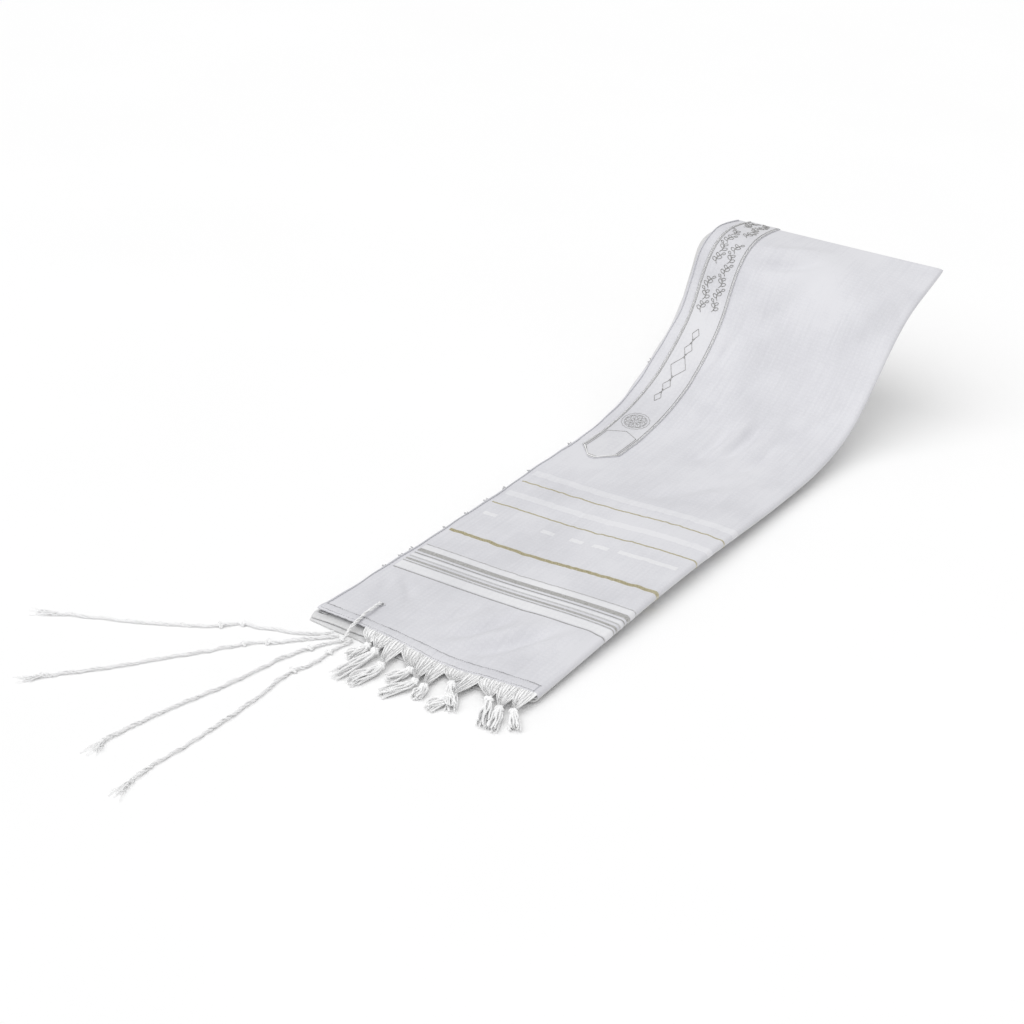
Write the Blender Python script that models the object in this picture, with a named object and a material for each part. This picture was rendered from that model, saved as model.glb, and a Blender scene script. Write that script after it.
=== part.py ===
"""A tallit prayer shawl folded in quarters, lying with its far end raised in a soft S.

Metres, +Z up. The cloth's own frame runs +X across the folded width, from the open neckband
edge to the lengthwise fold, and +Y along its length, from the near hem to the far fold.
At the end everything is moved so that the origin is under the middle of the cloth's box.
"""
import math

import bmesh
import bpy
from mathutils import Vector

# The shawl: 0.49 m by 1.72 m flat, folded once lengthwise and once end to end.
FOLDED_WIDTH = 0.246
FOLDED_LENGTH = 0.860
WALL = 0.0012            # one layer of cloth with its nap
GAP = 0.0003             # between neighbouring pieces
UNDER_TOP = WALL + 0.0005  # the hidden layers' upper skin lies this far in from the top's
NEAR_HEIGHT = 0.008      # top of the stack at the near hem's open corner
RULED_STEP = 0.004       # step of the worked-out edge lines
RUN_START = -0.024       # the lower layers come out this far under the near hem
RUN_END = 0.872

# The near hem waves: it stands up at the open corner, dips and comes forward beyond it.
WAVE_REACH = 0.070
HEM_WAVE = [
    {"across": 0.000, "rise": 0.0024, "forward": 0.000},
    {"across": 0.045, "rise": 0.0022, "forward": 0.000},
    {"across": 0.095, "rise": -0.0006, "forward": 0.0005},
    {"across": 0.150, "rise": -0.0045, "forward": 0.003},
    {"across": 0.205, "rise": -0.0016, "forward": 0.001},
    {"across": 0.246, "rise": 0.0014, "forward": 0.000},
]

# How the stack lies along its length: its slope in degrees and its thickness in metres,
# at the open edge (left) and on the right, where it thins to the lengthwise fold itself.
FOLD_TAPER = 0.075       # the stack thins over this much of its width beside the fold
LIE = [
    {"run": -0.03, "left_slope": 0, "right_slope": 2,
     "left_stack": 0.0090, "right_stack": 0.0120, "fold": 0.0075},
    {"run": 0.00, "left_slope": 0, "right_slope": 3,
     "left_stack": 0.0090, "right_stack": 0.0125, "fold": 0.0075},
    {"run": 0.20, "left_slope": 0, "right_slope": 2,
     "left_stack": 0.0095, "right_stack": 0.0205, "fold": 0.0085},
    {"run": 0.36, "left_slope": 2, "right_slope": -2,
     "left_stack": 0.0110, "right_stack": 0.0215, "fold": 0.0088},
    {"run": 0.45, "left_slope": 1, "right_slope": 0,
     "left_stack": 0.0115, "right_stack": 0.0180, "fold": 0.0088},
    {"run": 0.52, "left_slope": 12, "right_slope": 3,
     "left_stack": 0.0105, "right_stack": 0.0150, "fold": 0.0088},
    {"run": 0.59, "left_slope": 28, "right_slope": 16,
     "left_stack": 0.0095, "right_stack": 0.0130, "fold": 0.0088},
    {"run": 0.66, "left_slope": 38, "right_slope": 41,
     "left_stack": 0.0090, "right_stack": 0.0110, "fold": 0.0088},
    {"run": 0.73, "left_slope": 64, "right_slope": 39,
     "left_stack": 0.0085, "right_stack": 0.0100, "fold": 0.0086},
    {"run": 0.81, "left_slope": -3, "right_slope": 19,
     "left_stack": 0.0085, "right_stack": 0.0090, "fold": 0.0084},
    {"run": 0.90, "left_slope": -18, "right_slope": 28,
     "left_stack": 0.0080, "right_stack": 0.0085, "fold": 0.0082},
]

# The hidden layers' open edges from the top down: share of the stack's height, how far each
# level is set back from the near hem and from the open edge (minus stands out beyond it).
LAYER_EDGES = [
    {"height": 0.97, "near": 0.013, "left": 0.002},
    {"height": 0.70, "near": 0.013, "left": 0.002},
    {"height": 0.66, "near": 0.018, "left": 0.006},
    {"height": 0.62, "near": -0.009, "left": -0.003},
    {"height": 0.37, "near": -0.009, "left": -0.003},
    {"height": 0.33, "near": 0.004, "left": 0.003},
    {"height": 0.29, "near": -0.013, "left": -0.005},
    {"height": 0.03, "near": -0.013, "left": -0.005},
]

HEM_DEPTH = 0.012
HEM_WALL = 0.0008

# The neckband: where its two long edges lie, up to the far fold. Its near end is pointed.
NECKBAND_WALL = 0.0010
NECKBAND_POINT = 0.021
NECKBAND_CUT = 0.020
NECKBAND_COLUMNS = (1, 2, 3)
NECKBAND = [
    {"run": 0.446, "left": 0.0115, "right": 0.0580},
    {"run": 0.600, "left": 0.0155, "right": 0.0585},
    {"run": 0.720, "left": 0.0120, "right": 0.0525},
    {"run": 0.860, "left": 0.0125, "right": 0.0490},
]

# How far the knotted fringe reaches in front of the lower layers, along the hem.
FRINGE_START = -0.0168
FRINGE_HEM_HEIGHT = 0.0085
FRINGE_END_HEIGHT = 0.0110
FRINGE = [
    {"across": 0.071, "reach": 0.030},
    {"across": 0.075, "reach": 0.081},
    {"across": 0.101, "reach": 0.080},
    {"across": 0.119, "reach": 0.055},
    {"across": 0.129, "reach": 0.079},
    {"across": 0.155, "reach": 0.062},
    {"across": 0.174, "reach": 0.071},
    {"across": 0.200, "reach": 0.061},
    {"across": 0.230, "reach": 0.068},
    {"across": 0.246, "reach": 0.062},
    {"across": 0.261, "reach": 0.048},
]

# The four corner tassels of twisted cord. Each lies on the surface; the third starts at the
# eyelet in the top layer and passes over the near hem.
CORD_RADIUS = 0.00225
LAID = CORD_RADIUS + 0.0001
CORD_STEP = 0.0055
CORD_ROUTES = {
    "tassel_1": [
        (0.0320, -0.0160), (0.0275, -0.0210), (0.0180, -0.0290), (0.0045, -0.0375),
        (-0.0150, -0.0445), (-0.0310, -0.0520), (-0.0475, -0.0570), (-0.0650, -0.0770),
        (-0.0920, -0.0945), (-0.1190, -0.1110), (-0.1415, -0.1225), (-0.1620, -0.1320),
        (-0.1860, -0.1450), (-0.2060, -0.1560),
    ],
    "tassel_2": [
        (0.0390, -0.0170), (0.0325, -0.0258), (0.0215, -0.0362), (0.0120, -0.0482),
        (0.0010, -0.0620), (-0.0110, -0.0700), (-0.0230, -0.0860), (-0.0420, -0.1170),
        (-0.0590, -0.1410), (-0.0740, -0.1650), (-0.0890, -0.1870), (-0.1050, -0.2080),
        (-0.1220, -0.2300), (-0.1340, -0.2470),
    ],
    "tassel_4": [
        (0.0530, -0.0160), (0.0535, -0.0240), (0.0495, -0.0380), (0.0500, -0.0570),
        (0.0490, -0.0750), (0.0435, -0.0880), (0.0430, -0.1110), (0.0460, -0.1370),
        (0.0472, -0.1800), (0.0470, -0.2200), (0.0462, -0.2480), (0.0442, -0.2720),
        (0.0458, -0.3060), (0.0500, -0.3230),
    ],
}
EYELET = {"run": 0.041, "across": 0.0433}
OVER_HEM = [(0.0440, 0.032), (0.0450, 0.020), (0.0462, 0.009), (0.0472, 0.001)]
HEM_DROP = [
    (0.0478, -0.0070, 0.0128), (0.0480, -0.0130, 0.0098),
    (0.0476, -0.0190, 0.0058), (0.0455, -0.0240, 0.0030),
]
TASSEL_3 = [
    (0.0425, -0.0280), (0.0370, -0.0375), (0.0315, -0.0500), (0.0240, -0.0710),
    (0.0195, -0.0940), (0.0160, -0.1200), (0.0105, -0.1510), (0.0030, -0.1820),
    (-0.0030, -0.2090), (-0.0075, -0.2350), (-0.0105, -0.2570), (-0.0120, -0.2740),
    (-0.0060, -0.2900),
]

GRID_ROWS = 38           # along the length, before the far fold's round
GRID_COLUMNS = 11        # across the width, before the lengthwise fold's round
FOLD_ANGLES = [90, 62, 38, 17, 0]

COLOURS = {
    "cloth": (0.82, 0.82, 0.85), "layers": (0.72, 0.72, 0.74), "hem": (0.78, 0.78, 0.80),
    "neckband": (0.84, 0.84, 0.86), "fringe": (0.86, 0.86, 0.86), "cord": (0.88, 0.88, 0.88),
}


def smooth_value(table, key, value, at):
    """The value column of a table at a place between its rows, on a smooth curve through them."""
    last = len(table) - 1
    row = max(0, min(last - 1, sum(1 for r in table if r[key] <= at) - 1))
    x0, x1 = table[row][key], table[row + 1][key]
    y0, y1 = table[row][value], table[row + 1][value]

    def lean(i):
        before, after = table[max(i - 1, 0)], table[min(i + 1, last)]
        return (after[value] - before[value]) / (after[key] - before[key])

    width = x1 - x0
    t = min(max((at - x0) / width, 0.0), 1.0)
    a, b = lean(row) * width, lean(row + 1) * width
    return (
        y0 * (2 * t**3 - 3 * t**2 + 1) + a * (t**3 - 2 * t**2 + t)
        + y1 * (3 * t**2 - 2 * t**3) + b * (t**3 - t**2)
    )


def straight_value(table, key, value, at):
    """The value column of a table at a place between its rows, on straight lines."""
    for a, b in zip(table, table[1:]):
        if at <= b[key]:
            t = max((at - a[key]) / (b[key] - a[key]), 0.0)
            return a[value] + (b[value] - a[value]) * t
    return table[-1][value]


def edge_line(slope_column):
    """(y, z) every RULED_STEP along an edge of the cloth, from its slopes. y is 0 at run 0."""
    steps = round((RUN_END - RUN_START) / RULED_STEP)
    y, z, line = 0.0, 0.0, [(0.0, 0.0)]
    for i in range(steps):
        middle = RUN_START + (i + 0.5) * RULED_STEP
        slope = math.radians(smooth_value(LIE, "run", slope_column, middle))
        y += RULED_STEP * math.cos(slope)
        z += RULED_STEP * math.sin(slope)
        line.append((y, z))
    hem = round(-RUN_START / RULED_STEP)
    y0, z0 = line[hem]
    return [(a - y0, b - z0) for a, b in line]


LEFT_LINE = edge_line("left_slope")
RIGHT_LINE = edge_line("right_slope")
RIGHT_RISE = 0.0026      # the lengthwise fold stands this much higher than the open edge


def on_line(line, run):
    """(y, z) on an edge line, by its run."""
    place = (run - RUN_START) / RULED_STEP
    i = max(0, min(len(line) - 2, int(place)))
    t = place - i
    return tuple(a + (b - a) * t for a, b in zip(line[i], line[i + 1]))


def hem_wave(run, across, way):
    """How far the near hem rises or comes forward, which dies away up the cloth."""
    fade = max(0.0, 1.0 - max(run, 0.0) / WAVE_REACH)
    return fade * fade * smooth_value(HEM_WAVE, "across", way, across)


def top(run, across):
    """The top of the flat-laid stack: straight across between the two edge lines."""
    share = across / FOLDED_WIDTH
    left_y, left_z = on_line(LEFT_LINE, run)
    right_y, right_z = on_line(RIGHT_LINE, run)
    y = left_y + (right_y - left_y) * share - hem_wave(run, across, "forward")
    z = left_z + (right_z + RIGHT_RISE - left_z) * share + hem_wave(run, across, "rise")
    return Vector((across, y, NEAR_HEIGHT + z))


def upward(run, across):
    """The direction square to the cloth."""
    d = 0.002
    along = top(run + d, across) - top(run - d, across)
    aside = top(run, across + d) - top(run, across - d)
    return aside.cross(along).normalized()


def half_stack(run, across):
    """Half the folded stack's thickness."""
    left = smooth_value(LIE, "run", "left_stack", run)
    right = smooth_value(LIE, "run", "right_stack", run)
    fold = smooth_value(LIE, "run", "fold", run)
    flat = left + (right - left) * across / FOLDED_WIDTH
    t = min(max(1.0 - (FOLDED_WIDTH - across) / FOLD_TAPER, 0.0), 1.0)
    flat += (fold - flat) * t * t * (3 - 2 * t)
    return 0.5 * (flat + hem_wave(run, across, "rise"))


def fold_share(inset, radius):
    """How full a round fold is, from 0 at its outermost line to 1 a radius in from it."""
    t = min(max(1.0 - inset / radius, 0.0), 1.0)
    return math.sqrt(max(1.0 - t * t, 0.0))


def skin(run, across, lift, side, split=0.0):
    """A point on the stack's upper (side 1) or lower (side -1) skin, moved out by lift.

    Both folds are round. split moves the line where the two skins meet down, clear of a rim.
    The lower skin is flat where it would pass through the surface that the shawl lies on.
    """
    half = half_stack(run, across)
    side_round = half_stack(run, FOLDED_WIDTH) + lift
    end_round = half_stack(FOLDED_LENGTH, across) + lift
    share = fold_share(FOLDED_WIDTH + lift - across, side_round)
    share *= fold_share(FOLDED_LENGTH + lift - run, end_round)
    square = upward(run, across)
    middle = top(run, across) - square * half
    reach = side * (half + lift) * share
    if abs(reach) < split:
        reach = -split
    point = middle + square * reach
    if side < 0:
        point.z = max(point.z, -min(lift, 0.0))
    return point


def column_across(column, run, lift):
    """How far across a column of the grid lies: the open edge, the neckband's two edges and
    middle, even steps beyond it, and the last columns round the lengthwise fold."""
    left = straight_value(NECKBAND, "run", "left", run)
    right = straight_value(NECKBAND, "run", "right", run)
    side_round = half_stack(run, FOLDED_WIDTH) + lift
    if column <= NECKBAND_COLUMNS[-1]:
        return (0.0, left, (left + right) / 2, right)[column]
    if column <= GRID_COLUMNS:
        share = (column - NECKBAND_COLUMNS[-1]) / (GRID_COLUMNS - NECKBAND_COLUMNS[-1])
        return right + (FOLDED_WIDTH + lift - side_round - right) * share
    angle = math.radians(FOLD_ANGLES[column - GRID_COLUMNS])
    return FOLDED_WIDTH + lift - side_round * (1 - math.cos(angle))


def row_run(row, column, lift):
    """How far up the cloth a row of the grid lies. The last rows close round the far fold."""
    end_round = half_stack(FOLDED_LENGTH, column_across(column, FOLDED_LENGTH, 0.0)) + lift
    if row <= GRID_ROWS:
        return (FOLDED_LENGTH + lift - end_round) * row / GRID_ROWS
    angle = math.radians(FOLD_ANGLES[row - GRID_ROWS])
    return FOLDED_LENGTH + lift - end_round * (1 - math.cos(angle))


def grid_place(row, column, lift, near=0.0, left=0.0):
    """(run, across) of a grid point. near and left move only the two open edges."""
    run = row_run(row, column, lift) if row else near
    return run, (column_across(column, run, lift) if column else left)


LAST_ROW = GRID_ROWS + len(FOLD_ANGLES) - 1
LAST_COLUMN = GRID_COLUMNS + len(FOLD_ANGLES) - 1


def skin_grid(mesh, lift, side, split=0.0, near=0.0, left=0.0):
    """Vertices of a whole skin, by row and column."""
    grid = []
    for row in range(LAST_ROW + 1):
        line = []
        for column in range(LAST_COLUMN + 1):
            run, across = grid_place(row, column, lift, near, left)
            line.append(mesh.verts.new(skin(run, across, lift, side, split)))
        grid.append(line)
    return grid


def face_grid(mesh, grid, flip=False, turn=None):
    """Triangles between the rows and columns of a grid, all cut the same way, so that a
    piece lying on another one keeps its gap where the cloth twists. Past the row where a
    band turns back under the cloth, its rows run the other way, and so does the cut."""
    for row, (a, b) in enumerate(zip(grid, grid[1:])):
        for i in range(len(a) - 1):
            if turn is None or row < turn:
                halves = [a[i], a[i + 1], b[i + 1]], [a[i], b[i + 1], b[i]]
            else:
                halves = [a[i], a[i + 1], b[i]], [a[i + 1], b[i + 1], b[i]]
            for corners in halves:
                mesh.faces.new(corners[::-1] if flip else corners)


def outline(grid):
    """A grid's boundary vertices in one loop, round from its first corner."""
    loop = list(grid[0])
    loop += [row[-1] for row in grid[1:]]
    loop += grid[-1][-2::-1]
    return loop + [row[0] for row in grid[-2:0:-1]]


def bridge(mesh, upper, lower):
    """A closed strip of quads between two loops of as many vertices."""
    for i in range(len(upper)):
        j = (i + 1) % len(upper)
        mesh.faces.new([upper[i], lower[i], lower[j], upper[j]])


def plain_material(name, colour, roughness):
    material = bpy.data.materials.new(name)
    material.use_nodes = True
    shader = material.node_tree.nodes["Principled BSDF"]
    shader.inputs["Base Color"].default_value = (*colour, 1.0)
    shader.inputs["Roughness"].default_value = roughness
    shader.inputs["Metallic"].default_value = 0.0
    return material


def finish_object(name, mesh, material):
    """Turns a closed bmesh into a smooth-shaded object, its faces pointing out."""
    bmesh.ops.triangulate(mesh, faces=[f for f in mesh.faces if len(f.verts) > 4])
    if mesh.calc_volume(signed=True) < 0:
        bmesh.ops.reverse_faces(mesh, faces=mesh.faces)
    data = bpy.data.meshes.new(name)
    mesh.to_mesh(data)
    mesh.free()
    data.shade_smooth()
    data.set_sharp_from_angle(angle=math.radians(40))
    data.materials.append(material)
    piece = bpy.data.objects.new(name, data)
    bpy.context.scene.collection.objects.link(piece)
    return piece


def make_top_panel(material):
    """The layer that shows: a wall over the whole stack, round both folds to its middle."""
    mesh = bmesh.new()
    outer = skin_grid(mesh, 0.0, 1)
    inner = skin_grid(mesh, -WALL, 1)
    face_grid(mesh, outer)
    face_grid(mesh, inner, flip=True)
    bridge(mesh, outline(outer), outline(inner))
    return finish_object("top_panel", mesh, material)


def layer_point(row, column, near, left, height):
    """A point at a share of the height between the hidden layers' lower and upper skins."""
    upper = skin(*grid_place(row, column, -UNDER_TOP, near, left), -UNDER_TOP, 1, GAP)
    lower = skin(*grid_place(row, column, 0.0, near, left), 0.0, -1, GAP)
    return lower.lerp(upper, height)


def open_edge(mesh, level):
    """One level of the open edges: down the left side and along the near hem."""
    line = []
    for row in range(LAST_ROW - 1, 0, -1):
        fade = fold_share(FOLDED_LENGTH - row_run(row, 0, 0.0), 2 * WAVE_REACH)
        line.append(layer_point(row, 0, 0.0, level["left"] * fade, level["height"]))
    line.append(layer_point(0, 0, level["near"], level["left"], level["height"]))
    for column in range(1, LAST_COLUMN):
        fade = fold_share(FOLDED_WIDTH - grid_place(0, column, 0.0)[1], WAVE_REACH)
        line.append(layer_point(0, column, level["near"] * fade, 0.0, level["height"]))
    return [mesh.verts.new(point) for point in line]


def make_hidden_layers(material):
    """The three layers under the top one, as one rounded solid that parts into layers only
    along its open edges. Its underside is flat where it lies."""
    mesh = bmesh.new()
    first, last = LAYER_EDGES[0], LAYER_EDGES[-1]
    upper = skin_grid(mesh, -UNDER_TOP, 1, GAP, first["near"], first["left"])
    lower = skin_grid(mesh, 0.0, -1, GAP, last["near"], last["left"])
    face_grid(mesh, upper)
    face_grid(mesh, lower, flip=True)

    def open_run(grid):
        down = [grid[row][0] for row in range(LAST_ROW - 1, -1, -1)]
        return down + grid[0][1:LAST_COLUMN]

    levels = [open_run(upper)] + [open_edge(mesh, e) for e in LAYER_EDGES] + [open_run(lower)]
    for above, below in zip(levels, levels[1:]):
        for i in range(len(above) - 1):
            mesh.faces.new([above[i], below[i], below[i + 1], above[i + 1]])
    far_corner = [level[0] for level in levels] + [lower[-1][0], upper[-1][0]]
    near_corner = [level[-1] for level in levels] + [lower[0][-1], upper[0][-1]]
    mesh.faces.new(far_corner[::-1])
    mesh.faces.new(near_corner)

    def fold_run(grid):
        return [row[-1] for row in grid] + grid[-1][-2::-1]

    above, below = fold_run(upper), fold_run(lower)
    for i in range(len(above) - 1):
        mesh.faces.new([above[i], below[i], below[i + 1], above[i + 1]])
    return finish_object("hidden_layers", mesh, material)


def band(name, rows, material, turn=None):
    """A closed band from rows of (lower point, upper point) pairs across its width."""
    mesh = bmesh.new()
    under = [[mesh.verts.new(low) for low, _ in row] for row in rows]
    over = [[mesh.verts.new(high) for _, high in row] for row in rows]
    face_grid(mesh, over, turn=turn)
    face_grid(mesh, under, flip=True, turn=turn)
    bridge(mesh, outline(over), outline(under))
    return finish_object(name, mesh, material)


def make_near_hem(material):
    """The turned hem along the near edge, stitched down on the top layer."""
    rows = []
    for step in range(3):
        run = 0.0002 + (HEM_DEPTH - 0.0002) * step / 2
        row = []
        for column in range(LAST_COLUMN):
            _, across = grid_place(0, column, 0.0)
            across = max(across, GAP)
            row.append((skin(run, across, GAP, 1), skin(run, across, GAP + HEM_WALL, 1)))
        rows.append(row)
    return band("near_hem", rows, material)


def make_neckband(material):
    """The neckband: up the open edge of the top layer, round the far fold and back below."""
    first_row = next(r for r in range(GRID_ROWS) if row_run(r, 0, 0.0) > NECKBAND[0]["run"])

    def pairs(side, places):
        lifts = (GAP, GAP + NECKBAND_WALL)
        return [tuple(skin(*place(lift), lift, side) for lift in lifts) for place in places]

    def grid_row(side, row):
        return pairs(side, [lambda lift, c=c: grid_place(row, c, lift) for c in NECKBAND_COLUMNS])

    def end_row(side, run, cut):
        left = column_across(NECKBAND_COLUMNS[0], run, 0.0) + cut
        right = column_across(NECKBAND_COLUMNS[-1], run, 0.0) - cut
        places = [(run, left), (run, (left + right) / 2), (run, right)]
        return pairs(side, [lambda lift, p=p: p for p in places])

    shoulder = NECKBAND[0]["run"]
    rows = [end_row(1, shoulder - NECKBAND_POINT, NECKBAND_CUT), end_row(1, shoulder, 0.0)]
    rows += [grid_row(1, row) for row in range(first_row, LAST_ROW + 1)]
    rows += [grid_row(-1, row) for row in range(LAST_ROW - 1, first_row - 1, -1)]
    rows += [end_row(-1, shoulder, 0.0), end_row(-1, shoulder - NECKBAND_POINT, NECKBAND_CUT)]
    return band("neckband", rows, material, turn=len(rows) // 2)


def make_fringe(material):
    """The plain solid of the knotted fringe's reach, lying in front of the lower layers."""
    rows = []
    for entry in FRINGE:
        x, reach = entry["across"], entry["reach"]
        hem_side = (Vector((x, FRINGE_START, 0)), Vector((x, FRINGE_START, FRINGE_HEM_HEIGHT)))
        end_side = (Vector((x, -reach, 0)), Vector((x, -reach, FRINGE_END_HEIGHT)))
        rows.append([end_side, hem_side])
    return band("fringe", rows, material)


def through(points, step):
    """Points about a step apart on a smooth curve through hand-chosen ones."""
    padded = [2 * points[0] - points[1], *points, 2 * points[-1] - points[-2]]
    line = []
    for a, b, c, d in zip(padded, padded[1:], padded[2:], padded[3:]):
        count = max(1, round((c - b).length / step))
        for i in range(count):
            t = i / count
            line.append(0.5 * (
                2 * b + (c - a) * t + (2 * a - 5 * b + 4 * c - d) * t**2
                + (3 * b - a - 3 * c + d) * t**3
            ))
    return [*line, points[-1]]


def make_cord(name, route, material):
    """A tassel's cord: a plain tube along its route, in the cord's own diameter."""
    line = through([Vector(p) for p in route], CORD_STEP)
    curve = bpy.data.curves.new(name, "CURVE")
    curve.dimensions = "3D"
    spline = curve.splines.new("POLY")
    spline.points.add(len(line) - 1)
    for point, place in zip(spline.points, line):
        point.co = (*place, 1.0)
    curve.bevel_depth = CORD_RADIUS
    curve.bevel_resolution = 2
    curve.use_fill_caps = True
    curve.materials.append(material)
    cord = bpy.data.objects.new(name, curve)
    bpy.context.scene.collection.objects.link(cord)
    return cord


def make_cords(material):
    routes = {name: [(x, y, LAID) for x, y in flat] for name, flat in CORD_ROUTES.items()}
    clear = HEM_WALL + 2 * GAP + CORD_RADIUS
    start = skin(EYELET["run"], EYELET["across"], GAP + CORD_RADIUS, 1)
    over = [skin(run, across, clear, 1) for across, run in OVER_HEM]
    laid = [(x, y, LAID) for x, y in TASSEL_3]
    routes["tassel_3"] = [start, *over, *HEM_DROP, *laid]
    return [make_cord(name, routes[name], material) for name in sorted(routes)]


def box_of(pieces):
    """Lowest and highest corner of some mesh pieces."""
    points = [v.co for piece in pieces for v in piece.data.vertices]
    low = Vector([min(p[k] for p in points) for k in range(3)])
    high = Vector([max(p[k] for p in points) for k in range(3)])
    return low, high


def main():
    for old in list(bpy.data.objects):
        bpy.data.objects.remove(old)
    paint = {name: plain_material(name, colour, 0.85) for name, colour in COLOURS.items()}
    cloth = [
        make_top_panel(paint["cloth"]),
        make_hidden_layers(paint["layers"]),
        make_near_hem(paint["hem"]),
        make_neckband(paint["neckband"]),
        make_fringe(paint["fringe"]),
    ]
    cords = make_cords(paint["cord"])
    low, high = box_of(cloth)
    origin = Vector(((low.x + high.x) / 2, (low.y + high.y) / 2, low.z))
    for piece in cloth + cords:
        piece.location = -origin


main()
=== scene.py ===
"""Tallit prayer shawl folded in quarters: the finished cloth, neckband, fringe and tassels.

Metres, +Z up. Places on the cloth are given as run, up its length from the near hem, and
across, from the open neckband edge to the lengthwise fold. HOME puts them in the frame.
"""
import math

import bmesh
import bpy
import numpy as np
from mathutils import Matrix, Vector


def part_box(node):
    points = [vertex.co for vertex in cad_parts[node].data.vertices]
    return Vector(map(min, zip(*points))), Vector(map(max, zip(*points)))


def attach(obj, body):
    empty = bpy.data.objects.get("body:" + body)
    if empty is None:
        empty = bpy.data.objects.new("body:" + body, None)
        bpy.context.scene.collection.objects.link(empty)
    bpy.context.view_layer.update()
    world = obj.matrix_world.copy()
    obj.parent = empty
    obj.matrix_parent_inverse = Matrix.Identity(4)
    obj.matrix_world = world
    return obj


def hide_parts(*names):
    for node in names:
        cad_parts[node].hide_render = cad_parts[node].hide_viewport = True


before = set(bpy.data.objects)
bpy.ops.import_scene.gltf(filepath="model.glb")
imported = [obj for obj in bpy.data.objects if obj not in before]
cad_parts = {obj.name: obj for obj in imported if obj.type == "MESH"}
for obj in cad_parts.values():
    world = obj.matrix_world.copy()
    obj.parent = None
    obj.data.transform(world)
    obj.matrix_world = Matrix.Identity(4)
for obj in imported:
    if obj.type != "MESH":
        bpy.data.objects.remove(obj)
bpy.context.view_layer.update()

# ---------------------------------------------------------------- the folded cloth's form
FOLDED_WIDTH = 0.246
FOLDED_LENGTH = 0.860
WALL = 0.0012            # how thick one layer is
NEAR_HEIGHT = 0.008      # the stack's top at its open near corner
RIGHT_RISE = 0.0026      # and how much higher it is at the fold
RULED_STEP = 0.004       # the edge lines are worked out at this spacing
RUN_START = -0.024
RUN_END = 0.872
FRINGE_REACH = 0.081     # the fringe's solid reaches this far from the near hem,
FRINGE_RIGHT = 0.261     # and this far across
HOME = np.array([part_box("fringe")[1].x - FRINGE_RIGHT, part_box("fringe")[0].y + FRINGE_REACH, 0])

# The near hem's wave, which has died away at WAVE_REACH up the cloth.
WAVE_REACH = 0.070
HEM_WAVE = {
    "across": [0.000, 0.045, 0.095, 0.150, 0.205, 0.246],
    "rise": [0.0024, 0.0022, -0.0006, -0.0045, -0.0016, 0.0014],
    "forward": [0.0, 0.0, 0.0005, 0.003, 0.001, 0.0],
}
# How the stack lies: the slope of its two edges in degrees, and how thick it is at the
# open edge, at the other side and at the lengthwise fold itself.
LIE = {
    "run": [-0.03, 0.00, 0.20, 0.36, 0.45, 0.52, 0.59, 0.66, 0.73, 0.81, 0.90],
    "left_slope": [0, 0, 0, 2, 1, 12, 28, 38, 64, -3, -18],
    "right_slope": [2, 3, 2, -2, 0, 3, 16, 41, 39, 19, 28],
    "left_stack": [
        0.0090, 0.0090, 0.0095, 0.0110, 0.0115, 0.0105, 0.0095, 0.0090, 0.0085, 0.0085, 0.0080,
    ],
    "right_stack": [
        0.0120, 0.0125, 0.0205, 0.0215, 0.0180, 0.0150, 0.0130, 0.0110, 0.0100, 0.0090, 0.0085,
    ],
    "fold": [
        0.0075, 0.0075, 0.0085, 0.0088, 0.0088, 0.0088, 0.0088, 0.0088, 0.0086, 0.0084, 0.0082,
    ],
}
FOLD_TAPER = 0.075       # the stack thins over this much of its width beside the fold


def gentle(x, low, high):
    """0 below low, 1 above high, with a smooth step between."""
    t = np.clip((x - low) / (high - low), 0, 1)
    return t * t * (3 - 2 * t)


def unit(vectors):
    """Vectors at length one."""
    return vectors / np.linalg.norm(vectors, axis=-1, keepdims=True)


def smooth_value(table, key, value, at):
    """A table's value column at places between its rows, on a smooth curve through them."""
    xs, ys = np.array(table[key], float), np.array(table[value], float)
    at = np.asarray(at, float)
    last = len(xs) - 1
    row = np.clip(np.searchsorted(xs, at, side="right") - 1, 0, last - 1)
    before, after = np.maximum(row - 1, 0), np.minimum(row + 2, last)
    width = xs[row + 1] - xs[row]
    t = np.clip((at - xs[row]) / width, 0, 1)
    a = (ys[row + 1] - ys[before]) / (xs[row + 1] - xs[before]) * width
    b = (ys[after] - ys[row]) / (xs[after] - xs[row]) * width
    return (
        ys[row] * (2 * t**3 - 3 * t**2 + 1) + a * (t**3 - 2 * t**2 + t)
        + ys[row + 1] * (3 * t**2 - 2 * t**3) + b * (t**3 - t**2)
    )


def edge_line(slope):
    """(runs, y, z) every RULED_STEP along an edge of the cloth, from its slopes."""
    runs = RUN_START + RULED_STEP * np.arange(round((RUN_END - RUN_START) / RULED_STEP) + 1)
    angle = np.radians(smooth_value(LIE, "run", slope, runs[:-1] + RULED_STEP / 2))
    y = np.concatenate([[0], np.cumsum(RULED_STEP * np.cos(angle))])
    z = np.concatenate([[0], np.cumsum(RULED_STEP * np.sin(angle))])
    hem = round(-RUN_START / RULED_STEP)
    return runs, y - y[hem], z - z[hem]


LEFT_LINE = edge_line("left_slope")
RIGHT_LINE = edge_line("right_slope")


def hem_wave(run, across, way):
    """How far the near hem rises or comes forward, which dies away up the cloth."""
    fade = np.maximum(0, 1 - np.maximum(run, 0) / WAVE_REACH)
    return fade**2 * smooth_value(HEM_WAVE, "across", way, across)


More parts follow.
